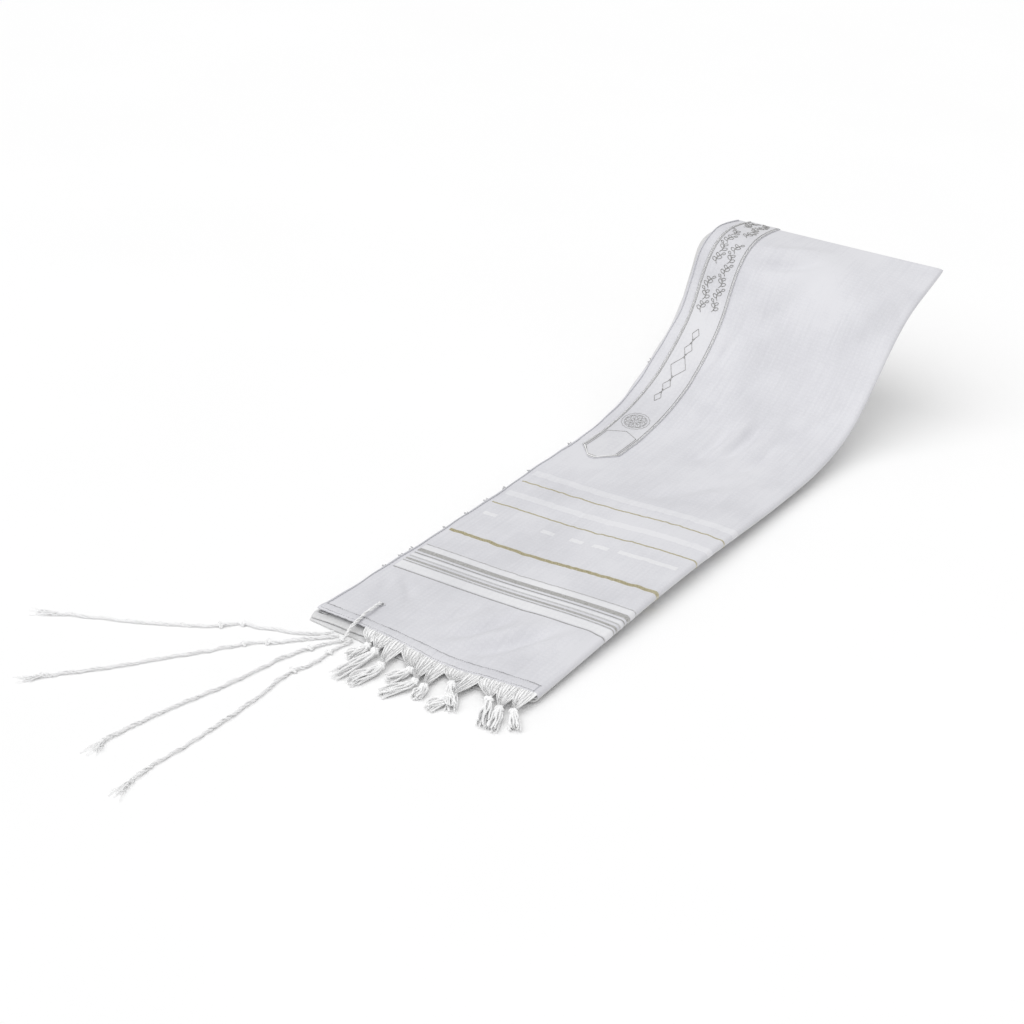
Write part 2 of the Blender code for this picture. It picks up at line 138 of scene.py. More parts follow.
def top(run, across):
    """The top of the flat-laid stack: straight across between the two edge lines."""
    run, across = np.broadcast_arrays(np.asarray(run, float), np.asarray(across, float))
    share = across / FOLDED_WIDTH
    left_y, left_z = (np.interp(run, LEFT_LINE[0], k) for k in LEFT_LINE[1:])
    right_y, right_z = (np.interp(run, RIGHT_LINE[0], k) for k in RIGHT_LINE[1:])
    y = left_y + (right_y - left_y) * share - hem_wave(run, across, "forward")
    z = left_z + (right_z + RIGHT_RISE - left_z) * share + hem_wave(run, across, "rise")
    return np.stack([across, y, NEAR_HEIGHT + z], -1)


def upward(run, across):
    """The direction square to the cloth."""
    d = 0.002
    along = top(run + d, across) - top(run - d, across)
    aside = top(run, across + d) - top(run, across - d)
    return unit(np.cross(aside, along))


def half_stack(run, across):
    """Half the folded stack's thickness."""
    left = smooth_value(LIE, "run", "left_stack", run)
    right = smooth_value(LIE, "run", "right_stack", run)
    fold = smooth_value(LIE, "run", "fold", run)
    flat = left + (right - left) * across / FOLDED_WIDTH
    flat = flat + (fold - flat) * gentle(across, FOLDED_WIDTH - FOLD_TAPER, FOLDED_WIDTH)
    return 0.5 * (flat + hem_wave(run, across, "rise"))


# ---------------------------------------------------------------- creases and soft waves
# Each crease is a soft trough (minus) or ridge: where it starts and ends, its half width
# and its height, all in metres. It is deepest at its middle and dies away at its ends.
CREASES = [
    # (run, across) to (run, across), half width, height
    ((0.030, 0.118), (0.105, 0.158), 0.0085, -0.0060),
    ((0.020, 0.150), (0.100, 0.205), 0.0100, -0.0072),
    ((0.025, 0.135), (0.098, 0.184), 0.0100, 0.0035),
    ((0.040, 0.094), (0.098, 0.120), 0.0060, -0.0027),
    ((0.030, 0.075), (0.095, 0.098), 0.0050, -0.0018),
    ((0.045, 0.030), (0.090, 0.016), 0.0060, -0.0023),
    ((0.060, 0.060), (0.096, 0.030), 0.0050, -0.0022),
    ((0.050, 0.190), (0.112, 0.232), 0.0090, 0.0027),
    ((0.370, 0.120), (0.460, 0.180), 0.0100, -0.0027),
    ((0.400, 0.160), (0.480, 0.225), 0.0120, 0.0030),
    ((0.520, 0.090), (0.610, 0.100), 0.0090, -0.0038),
    ((0.470, 0.120), (0.560, 0.128), 0.0080, -0.0049),
    ((0.490, 0.145), (0.590, 0.156), 0.0080, -0.0046),
    ((0.470, 0.172), (0.560, 0.190), 0.0070, -0.0038),
    ((0.500, 0.134), (0.590, 0.143), 0.0080, 0.0040),
    ((0.520, 0.165), (0.600, 0.178), 0.0090, 0.0035),
    ((0.560, 0.190), (0.650, 0.225), 0.0100, -0.0038),
    ((0.600, 0.120), (0.680, 0.112), 0.0110, -0.0033),
    ((0.640, 0.070), (0.720, 0.078), 0.0080, -0.0027),
    ((0.690, 0.095), (0.790, 0.140), 0.0140, -0.0035),
    ((0.765, 0.062), (0.800, 0.128), 0.0080, -0.0062),
    ((0.790, 0.062), (0.828, 0.125), 0.0090, 0.0034),
    ((0.700, 0.180), (0.800, 0.225), 0.0130, 0.0033),
    ((0.480, 0.060), (0.560, 0.075), 0.0070, -0.0023),
    ((0.610, 0.060), (0.670, 0.064), 0.0050, 0.0022),
]
# Long low swells of the whole stack: where, how far they reach and how high.
SWELLS = [
    # (run, across), (reach along, reach across), height
    ((0.070, 0.205), (0.060, 0.045), 0.0030),
    ((0.230, 0.105), (0.100, 0.060), -0.0027),
    ((0.330, 0.190), (0.070, 0.045), 0.0019),
    ((0.430, 0.080), (0.060, 0.050), -0.0016),
    ((0.570, 0.210), (0.060, 0.040), 0.0024),
    ((0.680, 0.150), (0.060, 0.060), -0.0030),
    ((0.600, 0.110), (0.050, 0.035), 0.0016),
    ((0.780, 0.190), (0.050, 0.050), 0.0022),
]
# The woven stripes draw the cloth in, in fine puckers along its length.
PUCKER_ZONE = (0.150, 0.385)     # from this run to this one
PUCKERS = [
    # width of one wave, height, sideways drift, how fast it comes and goes, where it starts
    (0.0170, 0.00027, 0.0040, 9.0, 0.3),
    (0.0113, 0.00020, 0.0030, 15.0, 1.9),
    (0.0077, 0.00014, 0.0024, 23.0, 4.1),
    (0.0290, 0.00036, 0.0060, 7.0, 2.6),
]


def crease(run, across, start, end, half_width, height):
    """One soft trough or ridge."""
    a, b = np.array(start), np.array(end)
    way = b - a
    long = np.linalg.norm(way)
    way = way / long
    along = (run - a[0]) * way[0] + (across - a[1]) * way[1]
    aside = -(run - a[0]) * way[1] + (across - a[1]) * way[0]
    bow = 0.06 * long * np.sin(np.pi * np.clip(along / long, 0, 1))
    fade = gentle(along, -0.15 * long, 0.35 * long) * (1 - gentle(along, 0.65 * long, 1.15 * long))
    return height * fade * np.exp(-(((aside - bow) / half_width) ** 2))


def relief(run, across):
    """How far the cloth stands above the straight-laid stack: creases, swells and puckers."""
    run, across = np.broadcast_arrays(np.asarray(run, float), np.asarray(across, float))
    rise = np.zeros(run.shape)
    for start, end, half_width, height in CREASES:
        rise += crease(run, across, start, end, half_width, height)
    for (at_run, at_across), (along, aside), height in SWELLS:
        off = ((run - at_run) / along) ** 2 + ((across - at_across) / aside) ** 2
        rise += height * np.exp(-off)
    zone = gentle(run, PUCKER_ZONE[0], PUCKER_ZONE[0] + 0.03)
    zone = zone * (1 - gentle(run, PUCKER_ZONE[1] - 0.03, PUCKER_ZONE[1]))
    for wave, height, drift, turns, start in PUCKERS:
        line = across + drift * np.sin(31.0 * run + start)
        comes = 0.55 + 0.45 * np.sin(turns * 6.0 * run + 40.0 * across + start)
        rise += zone * height * comes * np.sin(2 * np.pi * line / wave + start)
    near = 1 - gentle(run, 0.006, 0.040)
    rise += near * 0.00022 * np.sin(2 * np.pi * across / 0.0085 + 3 * np.sin(23 * across))
    edge = gentle(across, 0.0, 0.012) * (1 - gentle(across, FOLDED_WIDTH - 0.016, FOLDED_WIDTH))
    far = 1 - gentle(run, FOLDED_LENGTH - 0.03, FOLDED_LENGTH)
    return rise * edge * far


def fold_share(inset, radius):
    """How full a round fold is, from 0 at its outermost line to 1 a radius in from it."""
    t = np.clip(1 - inset / radius, 0, 1)
    return np.sqrt(np.maximum(1 - t * t, 0))


def skin(run, across, lift, side=1, creased=True):
    """Points on the stack's upper (side 1) or lower (side -1) skin, moved out by lift."""
    run, across = np.broadcast_arrays(np.asarray(run, float), np.asarray(across, float))
    half = half_stack(run, across)
    side_round = half_stack(run, FOLDED_WIDTH) + lift
    end_round = half_stack(FOLDED_LENGTH, across) + lift
    share = fold_share(FOLDED_WIDTH + lift - across, side_round)
    share = share * fold_share(FOLDED_LENGTH + lift - run, end_round)
    square = upward(run, across)
    rise = relief(run, across) if creased else 0.0
    reach = side * (half + lift) * share + (rise if side > 0 else 0.35 * rise)
    point = top(run, across) - square * half[..., None] + square * reach[..., None]
    if side < 0:
        point[..., 2] = np.maximum(point[..., 2], np.maximum(-lift, 0.0) + 0.0001)
    return point


def placed(points):
    """Points in the part's frame."""
    return np.asarray(points, float) + HOME


# ---------------------------------------------------------------- mesh helpers
def add_object(name, data):
    """An object in the scene with this data."""
    made = bpy.data.objects.new(name, data)
    bpy.context.scene.collection.objects.link(made)
    return made


def mesh_piece(name, points, faces, material, uv=None):
    """A mesh object from points in the cloth's own places and faces by number."""
    data = bpy.data.meshes.new(name)
    data.from_pydata(placed(points).tolist(), [], [list(map(int, f)) for f in faces])
    if uv is not None:
        layer = data.uv_layers.new(name="cloth")
        loops = np.empty(len(data.loops), dtype=np.int32)
        data.loops.foreach_get("vertex_index", loops)
        layer.data.foreach_set("uv", np.asarray(uv, np.float32)[loops].ravel())
    data.update()
    data.shade_smooth()
    data.set_sharp_from_angle(angle=math.radians(50))
    data.materials.append(material)
    return add_object(name, data)


def grid_faces(rows, columns, start=0, flip=False):
    """Quads between the points of a grid that are numbered row by row."""
    r, c = np.meshgrid(np.arange(rows - 1), np.arange(columns - 1), indexing="ij")
    a = (start + r * columns + c).ravel()
    quads = np.stack([a, a + 1, a + columns + 1, a + columns], -1)
    return quads[:, ::-1] if flip else quads


def rim(rows, columns, start=0):
    """A grid's boundary in one loop, round from its first corner."""
    first = list(range(columns))
    right = [r * columns + columns - 1 for r in range(1, rows)]
    last = [(rows - 1) * columns + c for c in range(columns - 2, -1, -1)]
    left = [r * columns for r in range(rows - 2, 0, -1)]
    return start + np.array(first + right + last + left)


def slab(name, outer, inner, material, uv=None):
    """A closed thin piece from the two skins (rows, columns, 3) of its wall."""
    rows, columns = outer.shape[:2]
    count = rows * columns
    points = np.concatenate([outer.reshape(-1, 3), inner.reshape(-1, 3)])
    faces = list(grid_faces(rows, columns)) + list(grid_faces(rows, columns, count, flip=True))
    upper, lower = rim(rows, columns), rim(rows, columns, count)
    for i in range(len(upper)):
        j = (i + 1) % len(upper)
        faces.append([upper[j], upper[i], lower[i], lower[j]])
    both = None if uv is None else np.concatenate([uv.reshape(-1, 2)] * 2)
    return mesh_piece(name, points, faces, material, both)


def grid_uv(across, runs, shape):
    """A grid's places on the cloth as its UV, in metres."""
    return np.stack([np.broadcast_to(across, shape), np.broadcast_to(runs[:, None], shape)], -1)


def spaced(low, high, step):
    """Evenly spaced values from low to high, about a step apart."""
    return np.linspace(low, high, max(2, round((high - low) / step) + 1))


# ---------------------------------------------------------------- materials
def new_material(name, colour, roughness, metallic=0.0, sheen=0.0):
    """A principled material with the values that are the same all over it."""
    material = bpy.data.materials.new(name)
    material.use_nodes = True
    shader = material.node_tree.nodes["Principled BSDF"]
    shader.inputs["Base Color"].default_value = (*colour, 1.0)
    shader.inputs["Roughness"].default_value = roughness
    shader.inputs["Metallic"].default_value = metallic
    shader.inputs["Sheen Weight"].default_value = sheen
    shader.inputs["Sheen Roughness"].default_value = 0.5
    return material, material.node_tree, shader


def add_node(tree, kind, **values):
    """A node with its inputs or settings of these names set."""
    node = tree.nodes.new(kind)
    for key, value in values.items():
        if key in node.inputs:
            node.inputs[key].default_value = value
        else:
            setattr(node, key, value)
    return node


def noise(tree, place, **values):
    """A noise texture's value at a place."""
    node = add_node(tree, "ShaderNodeTexNoise", **values)
    tree.links.new(place, node.inputs["Vector"])
    return node.outputs["Fac"]


def calculated(tree, operation, *inputs):
    """A math node's result on its inputs, each a number or another node's output."""
    node = add_node(tree, "ShaderNodeMath", operation=operation)
    for socket, given in zip(node.inputs, inputs):
        if isinstance(given, float):
            socket.default_value = given
        else:
            tree.links.new(given, socket)
    return node.outputs[0]


def bumped(tree, shader, height, strength, depth):
    """Gives a material's surface a bump from a height."""
    bump = add_node(tree, "ShaderNodeBump", Strength=strength, Distance=depth)
    tree.links.new(height, bump.inputs["Height"])
    tree.links.new(bump.outputs["Normal"], shader.inputs["Normal"])


def coloured(tree, shader, factor, places, colours):
    """Gives a material these colours where a factor has these values, blended between."""
    ramp = tree.nodes.new("ShaderNodeValToRGB")
    elements = ramp.color_ramp.elements
    while len(elements) < len(places):
        elements.new(0.5)
    for element, place, colour in zip(elements, places, colours):
        element.position = place
        element.color = (*colour, 1.0)
    tree.links.new(factor, ramp.inputs["Fac"])
    tree.links.new(ramp.outputs["Color"], shader.inputs["Base Color"])


def woven(material_name, colours, roughness, sheen, pitch=0.0008, depth=0.00012):
    """Plain weave on the cloth's own UV, in metres, with a soft nap and uneven whiteness."""
    material, tree, shader = new_material(material_name, colours[1], roughness, sheen=sheen)
    coordinates = tree.nodes.new("ShaderNodeTexCoord")
    uv, place = coordinates.outputs["UV"], coordinates.outputs["Object"]
    threads = []
    for direction in "XY":
        wave = add_node(tree, "ShaderNodeTexWave", wave_type="BANDS", bands_direction=direction)
        wave.inputs["Scale"].default_value = 1 / pitch / 20
        wave.inputs["Distortion"].default_value = 1.2
        wave.inputs["Detail Scale"].default_value = 3.0
        tree.links.new(uv, wave.inputs["Vector"])
        threads.append(wave.outputs["Fac"])
    cross = calculated(tree, "MULTIPLY", *threads)
    nap = noise(tree, place, Scale=900.0, Detail=3.0)
    bumped(tree, shader, calculated(tree, "ADD", cross, nap), 0.3, depth)
    cloud = noise(tree, place, Scale=9.0, Detail=5.0, Roughness=0.6)
    stretch = tree.nodes.new("ShaderNodeMapping")
    stretch.inputs["Scale"].default_value = (260.0, 16.0, 1.0)
    tree.links.new(uv, stretch.inputs["Vector"])
    streak = noise(tree, stretch.outputs["Vector"], Scale=1.0, Detail=3.0, Roughness=0.6)
    toned = cloud
    for source, share in ((cross, 0.08), (streak, 0.30), (nap, 0.45)):
        toned = calculated(tree, "MULTIPLY_ADD", source, share, toned)
    coloured(tree, shader, toned, (0.62, 0.90, 1.0), colours)
    return material


def metal_thread(material_name, colours, roughness, metallic):
    """Flat metallic yarn: its colour runs dark to bright in fine noise, painted glints where its
    turns would catch the light, and the same noise bumps it.
    """
    material, tree, shader = new_material(material_name, colours[1], roughness, metallic)
    place = tree.nodes.new("ShaderNodeTexCoord").outputs["Object"]
    painted_glints_and_bump = noise(tree, place, Scale=1400.0, Detail=2.0, Roughness=0.7)
    coloured(tree, shader, painted_glints_and_bump, (0.34, 0.5, 0.68), colours)
    bumped(tree, shader, painted_glints_and_bump, 0.6, 0.0002)
    return material


def soft_yarn(material_name, colours, roughness, sheen):
    """Soft spun yarn: fine fibres over a slightly uneven white."""
    material, tree, shader = new_material(material_name, colours[1], roughness, sheen=sheen)
    place = tree.nodes.new("ShaderNodeTexCoord").outputs["Object"]
    fibre = noise(tree, place, Scale=700.0, Detail=4.0, Roughness=0.65)
    coloured(tree, shader, fibre, (0.3, 0.5, 0.7), colours)
    return material


def make_materials():
    """Every material by its key, each from a dark through a middle to a bright colour."""
    white = [(0.59, 0.59, 0.622), (0.672, 0.672, 0.705), (0.705, 0.705, 0.735)]
    # The layers below are a little darker and warmer than the top cloth: painted shade of the
    # recesses between the layers.
    deep = [(0.59, 0.588, 0.58), (0.645, 0.645, 0.648), (0.69, 0.69, 0.70)]
    satin = [(0.70, 0.70, 0.725), (0.775, 0.775, 0.795), (0.81, 0.81, 0.825)]
    soft = [(0.66, 0.66, 0.69), (0.745, 0.745, 0.772), (0.775, 0.775, 0.80)]
    band = [(0.585, 0.585, 0.615), (0.66, 0.66, 0.69), (0.70, 0.70, 0.725)]
    return {
        "cloth": woven("white_cloth", white, 0.82, 0.25),
        "layers": woven("inner_cloth_painted_shade", deep, 0.85, 0.2),
        "satin": woven("satin_stripe", satin, 0.42, 0.35, pitch=0.0010, depth=0.00006),
        "satin_soft": woven("satin_stripe_soft", soft, 0.5, 0.3, pitch=0.0010, depth=0.00006),
        "band": woven("neckband_satin", band, 0.5, 0.3, pitch=0.0010, depth=0.00008),
        "hem": woven("hem_cloth", white, 0.8, 0.25, pitch=0.0011),
        # The metal threads below run dark to bright in fine noise: painted glints.
        "silver": metal_thread(
            "silver_thread", [(0.22, 0.215, 0.205), (0.40, 0.395, 0.385), (0.64, 0.64, 0.64)],
            0.45, 0.45),
        "silver_mesh": metal_thread(
            "silver_weave", [(0.26, 0.255, 0.24), (0.47, 0.465, 0.45), (0.72, 0.72, 0.72)],
            0.5, 0.35),
        "silver_pale": metal_thread(
            "silver_weave_pale", [(0.40, 0.40, 0.39), (0.58, 0.58, 0.575), (0.76, 0.76, 0.77)],
            0.5, 0.25),
        "gold": metal_thread(
            "gold_thread", [(0.31, 0.27, 0.15), (0.53, 0.48, 0.31), (0.76, 0.72, 0.55)],
            0.42, 0.45),
        "stitch": metal_thread(
            "stitch_thread", [(0.22, 0.22, 0.225), (0.36, 0.36, 0.37), (0.52, 0.52, 0.53)],
            0.7, 0.0),
        "tuft": soft_yarn(
            "tuft_yarn", [(0.42, 0.42, 0.43), (0.55, 0.55, 0.56), (0.70, 0.70, 0.71)],
            0.85, 0.2),
        "fringe": soft_yarn(
            "fringe_yarn", [(0.88, 0.88, 0.885), (0.94, 0.94, 0.942), (0.97, 0.97, 0.97)],
            0.9, 0.3),
        "cord": soft_yarn(
            "cord_yarn", [(0.86, 0.86, 0.865), (0.94, 0.94, 0.942), (0.975, 0.975, 0.975)],
            0.88, 0.3),
    }


# ---------------------------------------------------------------- node trees for repeats
def socket_id(tree, name):
    """The identifier that a modifier knows a tree's named input by."""
    return next(s.identifier for s in tree.interface.items_tree
                if s.item_type == "SOCKET" and s.in_out == "INPUT" and s.name == name)


def tree_with(name, sizes):
    """A geometry tree with its geometry sockets and named sizes with their values."""
    tree = bpy.data.node_groups.new(name, "GeometryNodeTree")
    tree.interface.new_socket("Geometry", in_out="INPUT", socket_type="NodeSocketGeometry")
    for key, value in sizes.items():
        kind = "NodeSocketInt" if isinstance(value, int) else "NodeSocketFloat"
        tree.interface.new_socket(key, in_out="INPUT", socket_type=kind).default_value = value
    tree.interface.new_socket("Material", in_out="INPUT", socket_type="NodeSocketMaterial")
    tree.interface.new_socket("Geometry", in_out="OUTPUT", socket_type="NodeSocketGeometry")
    return tree, tree.nodes.new("NodeGroupInput"), tree.nodes.new("NodeGroupOutput")


def attribute(tree, name, kind="FLOAT"):
    """The output of a guide mesh's named attribute."""
    node = tree.nodes.new("GeometryNodeInputNamedAttribute")
    node.data_type = kind
    node.inputs["Name"].default_value = name
    return next(o for o in node.outputs if o.enabled and o.name == "Attribute")


def close_tree(tree, source, given, out, smooth_faces=True):
    """Ends a tree as every one here ends: realized, shaded and with its material."""
    real = tree.nodes.new("GeometryNodeRealizeInstances")
    smooth = tree.nodes.new("GeometryNodeSetShadeSmooth")
    smooth.inputs["Shade Smooth"].default_value = smooth_faces
    paint = tree.nodes.new("GeometryNodeSetMaterial")
    tree.links.new(source, real.inputs["Geometry"])
    tree.links.new(real.outputs["Geometry"], smooth.inputs["Geometry"])
    tree.links.new(smooth.outputs["Geometry"], paint.inputs["Geometry"])
    tree.links.new(given.outputs["Material"], paint.inputs["Material"])
    tree.links.new(paint.outputs["Geometry"], out.inputs["Geometry"])


def plied_tree():
    """Sweeps a yarn of some plies, twisted round each other, along each line of a mesh."""
    sizes = {"Plies": 2, "Ply Sides": 5, "Ply Radius": 0.001, "Ply Offset": 0.001, "Turns": 100.0}
    tree, given, out = tree_with("plied_yarn", sizes)
    link = tree.links.new
    to_curve = tree.nodes.new("GeometryNodeMeshToCurve")
    link(given.outputs["Geometry"], to_curve.inputs["Mesh"])
    along = tree.nodes.new("GeometryNodeSplineParameter")
    turning = calculated(tree, "MULTIPLY", along.outputs["Length"], given.outputs["Turns"])
    radians = calculated(tree, "MULTIPLY", turning, 2 * math.pi)
    tilt = tree.nodes.new("GeometryNodeSetCurveTilt")
    link(to_curve.outputs["Curve"], tilt.inputs["Curve"])
    link(radians, tilt.inputs["Tilt"])
    thick = tree.nodes.new("GeometryNodeSetCurveRadius")
    link(tilt.outputs["Curve"], thick.inputs["Curve"])
    link(attribute(tree, "thickness"), thick.inputs["Radius"])
    ring = add_node(tree, "GeometryNodeCurvePrimitiveCircle", mode="RADIUS")
    link(given.outputs["Plies"], ring.inputs["Resolution"])
    link(given.outputs["Ply Offset"], ring.inputs["Radius"])
    ply = add_node(tree, "GeometryNodeCurvePrimitiveCircle", mode="RADIUS")
    link(given.outputs["Ply Sides"], ply.inputs["Resolution"])
    link(given.outputs["Ply Radius"], ply.inputs["Radius"])
    spots = tree.nodes.new("GeometryNodeCurveToPoints")
    spots.mode = "EVALUATED"
    link(ring.outputs["Curve"], spots.inputs["Curve"])
    plies = tree.nodes.new("GeometryNodeInstanceOnPoints")
    link(spots.outputs["Points"], plies.inputs["Points"])
    link(ply.outputs["Curve"], plies.inputs["Instance"])
    profile = tree.nodes.new("GeometryNodeRealizeInstances")
    link(plies.outputs["Instances"], profile.inputs["Geometry"])
    sweep = tree.nodes.new("GeometryNodeCurveToMesh")
    link(thick.outputs["Curve"], sweep.inputs["Curve"])
    link(profile.outputs["Geometry"], sweep.inputs["Profile Curve"])
    sweep.inputs["Fill Caps"].default_value = True
    if "Scale" in sweep.inputs:
        link(attribute(tree, "thickness"), sweep.inputs["Scale"])
    close_tree(tree, sweep.outputs["Mesh"], given, out, smooth_faces=False)
    return tree


def stitch_tree():
    """A rounded stitch on every point, turned by the point's along and square directions."""
    sizes = {"Stitch Length": 0.002, "Stitch Width": 0.0008, "Stitch Height": 0.0005}
    tree, given, out = tree_with("stitches", sizes)
    link = tree.links.new
    bead = tree.nodes.new("GeometryNodeMeshUVSphere")
    bead.inputs["Segments"].default_value = 6
    bead.inputs["Rings"].default_value = 4
    bead.inputs["Radius"].default_value = 0.5
    shape = tree.nodes.new("ShaderNodeCombineXYZ")
    for axis, size in zip("XYZ", sizes):
        link(given.outputs[size], shape.inputs[axis])
    form = tree.nodes.new("GeometryNodeTransform")
    link(bead.outputs["Mesh"], form.inputs["Geometry"])
    link(shape.outputs["Vector"], form.inputs["Scale"])
    turn = tree.nodes.new("FunctionNodeAxesToRotation")
    turn.primary_axis = "Z"
    turn.secondary_axis = "X"
    link(attribute(tree, "square", "FLOAT_VECTOR"), turn.inputs["Primary Axis"])
    link(attribute(tree, "along", "FLOAT_VECTOR"), turn.inputs["Secondary Axis"])
    points = tree.nodes.new("GeometryNodeMeshToPoints")
    link(given.outputs["Geometry"], points.inputs["Mesh"])
    sewn = tree.nodes.new("GeometryNodeInstanceOnPoints")
    link(points.outputs["Points"], sewn.inputs["Points"])
    link(form.outputs["Geometry"], sewn.inputs["Instance"])
    link(turn.outputs["Rotation"], sewn.inputs["Rotation"])
    link(attribute(tree, "size"), sewn.inputs["Scale"])
    close_tree(tree, sewn.outputs["Instances"], given, out)
    return tree


def evaluated(name, guide, tree, material, sizes):
    """The plain mesh that a tree makes on a guide mesh. The guide is removed."""
    holder = add_object(name + "_guide", guide)
    maker = holder.modifiers.new("maker", "NODES")
    maker.node_group = tree
    for key, value in sizes.items():
        maker[socket_id(tree, key)] = value
    maker[socket_id(tree, "Material")] = material
    graph = bpy.context.evaluated_depsgraph_get()
    data = bpy.data.meshes.new_from_object(holder.evaluated_get(graph))
    data.name = name
    bpy.data.objects.remove(holder)
    return add_object(name, data)


def line_guide(lines, thickness):
    """A mesh of bare lines, each a list of points, with a thickness at each point."""
    points, edges, sizes = [], [], []
    for line, thick in zip(lines, thickness):
        start = len(points)
        points += [tuple(p) for p in placed(line)]
        edges += [(start + i, start + i + 1) for i in range(len(line) - 1)]
        sizes += list(np.broadcast_to(thick, len(line)))
    guide = bpy.data.meshes.new("guide")
    guide.from_pydata(points, edges, [])
    guide.attributes.new("thickness", "FLOAT", "POINT").data.foreach_set("value", sizes)
    return guide


YARN_SIZES = {
    # plies, a ply's radius, how far each lies from the middle, turns in a metre, sides
    "selvedge": (2, 0.00062, 0.00045, 62.0, 6),
    "tuft": (2, 0.00030, 0.00022, 300.0, 4),
    "border": (2, 0.00022, 0.00018, 160.0, 4),
    "edging": (1, 0.00085, 0.0, 0.0, 6),
    "band_end": (2, 0.00022, 0.00018, 150.0, 4),
    "band_end_white": (2, 0.00044, 0.00036, 140.0, 5),
    "motif": (2, 0.00023, 0.00018, 170.0, 4),
    "warp": (1, 0.00036, 0.0, 0.0, 5),
    "fringe_knot": (3, 0.00115, 0.00085, 130.0, 6),
    "fringe_tassel": (2, 0.00060, 0.00042, 95.0, 5),
    "cord_strand": (2, 0.00045, 0.00036, 165.0, 5),
    "cord_knot": (2, 0.00072, 0.00055, 260.0, 5),
    "cord_end": (2, 0.00038, 0.00028, 120.0, 4),
    "eyelet": (2, 0.0006, 0.0003, 200.0, 5),
}


def yarns(name, kind, lines, thickness, material, trees):
    """A piece of plied yarns along lines, none of it below the floor."""
    plies, ply_radius, ply_offset, turns, sides = YARN_SIZES[kind]
    raised = []
    for line, thick in zip(lines, thickness):
        line = np.array(line, float)
        line[:, 2] = np.maximum(line[:, 2], (ply_radius + ply_offset) * np.max(thick) + 0.0001)
        raised.append(line)
    sizes = {
        "Plies": plies, "Ply Sides": sides, "Ply Radius": ply_radius,
        "Ply Offset": ply_offset, "Turns": turns,
    }
    return evaluated(name, line_guide(raised, thickness), trees["plied"], material, sizes)


def stitches(name, points, along, square, size, material, tree, shape):
    """Stitches at points, with their directions, each scaled by its own size."""
    guide = bpy.data.meshes.new("guide")
    guide.from_pydata(placed(points).tolist(), [], [])
    for key, vectors in (("along", along), ("square", square)):
        layer = guide.attributes.new(key, "FLOAT_VECTOR", "POINT")
        layer.data.foreach_set("vector", np.asarray(vectors, np.float32).ravel())
    layer = guide.attributes.new("size", "FLOAT", "POINT")
    layer.data.foreach_set("value", np.broadcast_to(size, len(points)).astype(np.float32))
    sizes = dict(zip(("Stitch Length", "Stitch Width", "Stitch Height"), shape))
    return evaluated(name, guide, tree, material, sizes)


def on_cloth(run, across, lift, side=1):
    """Points on the cloth with their along-the-line and square directions."""
    run, across = np.asarray(run, float), np.asarray(across, float)
    points = skin(run, across, lift, side)
    along = unit(np.gradient(points, axis=0))
    d = 0.0008
    one = skin(run + d, across, lift, side) - skin(run - d, across, lift, side)
    two = skin(run, across + d, lift, side) - skin(run, across - d, lift, side)
    return points, along, unit(side * np.cross(two, one))


# ---------------------------------------------------------------- the cloth itself
ROW_STEP = 0.0029
COLUMN_STEP = 0.0023


def columns_round(run, lift, turns=8):
    """Across places from the open edge to the fold's outermost line, for one run."""
    side_round = float(half_stack(run, FOLDED_WIDTH)) + lift
    flat = FOLDED_WIDTH + lift - side_round
    angles = np.radians(np.linspace(90, 0, turns + 1))[1:]
    count = round(FOLDED_WIDTH / COLUMN_STEP)
    return np.concatenate([
        np.linspace(0, flat, count), FOLDED_WIDTH + lift - side_round * (1 - np.cos(angles))])


def rows_round(lift, turns=6):
    """Run places from the near hem to the far fold's outermost line."""
    end_round = float(half_stack(FOLDED_LENGTH, FOLDED_WIDTH / 2)) + lift
    flat = FOLDED_LENGTH + lift - end_round
    angles = np.radians(np.linspace(90, 0, turns + 1))[1:]
    return np.concatenate([
        spaced(0, flat, ROW_STEP), FOLDED_LENGTH + lift - end_round * (1 - np.cos(angles))])


def cloth_grid(lift):
    """The (run, across) places of a skin's points."""
    rows = rows_round(lift)
    across = np.stack([columns_round(run, lift) for run in rows])
    run = np.broadcast_to(rows[:, None], across.shape)
    return run, across


def make_top_layer(paint):
    """The layer that shows, closed all round, its edge at the open side softly uneven."""
    run, across = cloth_grid(0.0)
    inner_run, inner_across = cloth_grid(-WALL)
    ragged = 0.0006 * np.sin(41 * run) + 0.0004 * np.sin(113 * run + 1.0)
    near_edge = np.exp(-across / 0.004)
    across = across + ragged * near_edge
    outer = skin(run, across, 0.0)
    inner = skin(inner_run, inner_across, -WALL)
    uv = np.stack([across, run], -1)
    return slab("top_layer", outer, inner, paint["cloth"], uv)


# The three layers below, from the top down: their middle as a share of the height, half
# their thickness, how far they stand out at the near hem and at the open edge, and where
# their waves start.
LOWER_LAYERS = [
    (0.80, 0.115, -0.011, -0.0022, 0.4),
    (0.50, 0.120, 0.0075, 0.0030, 2.1),
    (0.17, 0.130, 0.0125, 0.0048, 4.6),
]
PLEAT_DEPTH = 0.012      # how far in the gaps between the layers go
LIP_ROUND = 0.0011       # how far a layer's lip curves back
LIP_ANGLES = (90, 84, 60, 30, 0, -30, -60, -84, -90)
UNDER_TOP = WALL + 0.0003


def layer_levels():
    """(height share, how far out at the near hem, at the open edge, seed) down the edges."""
    levels = []
    for middle, half, near, left, seed in LOWER_LAYERS:
        for angle in LIP_ANGLES:
            a = math.radians(angle)
            pull = LIP_ROUND * (math.cos(a) - 1)
            deep = PLEAT_DEPTH if abs(angle) == 90 else 0.0
            shoulder = 0.003 if abs(angle) == 84 else 0.0
            levels.append((
                middle + half * math.sin(a), near + pull - deep - shoulder,
                left + pull - 0.7 * deep - 0.5 * shoulder, seed,
            ))
    return levels


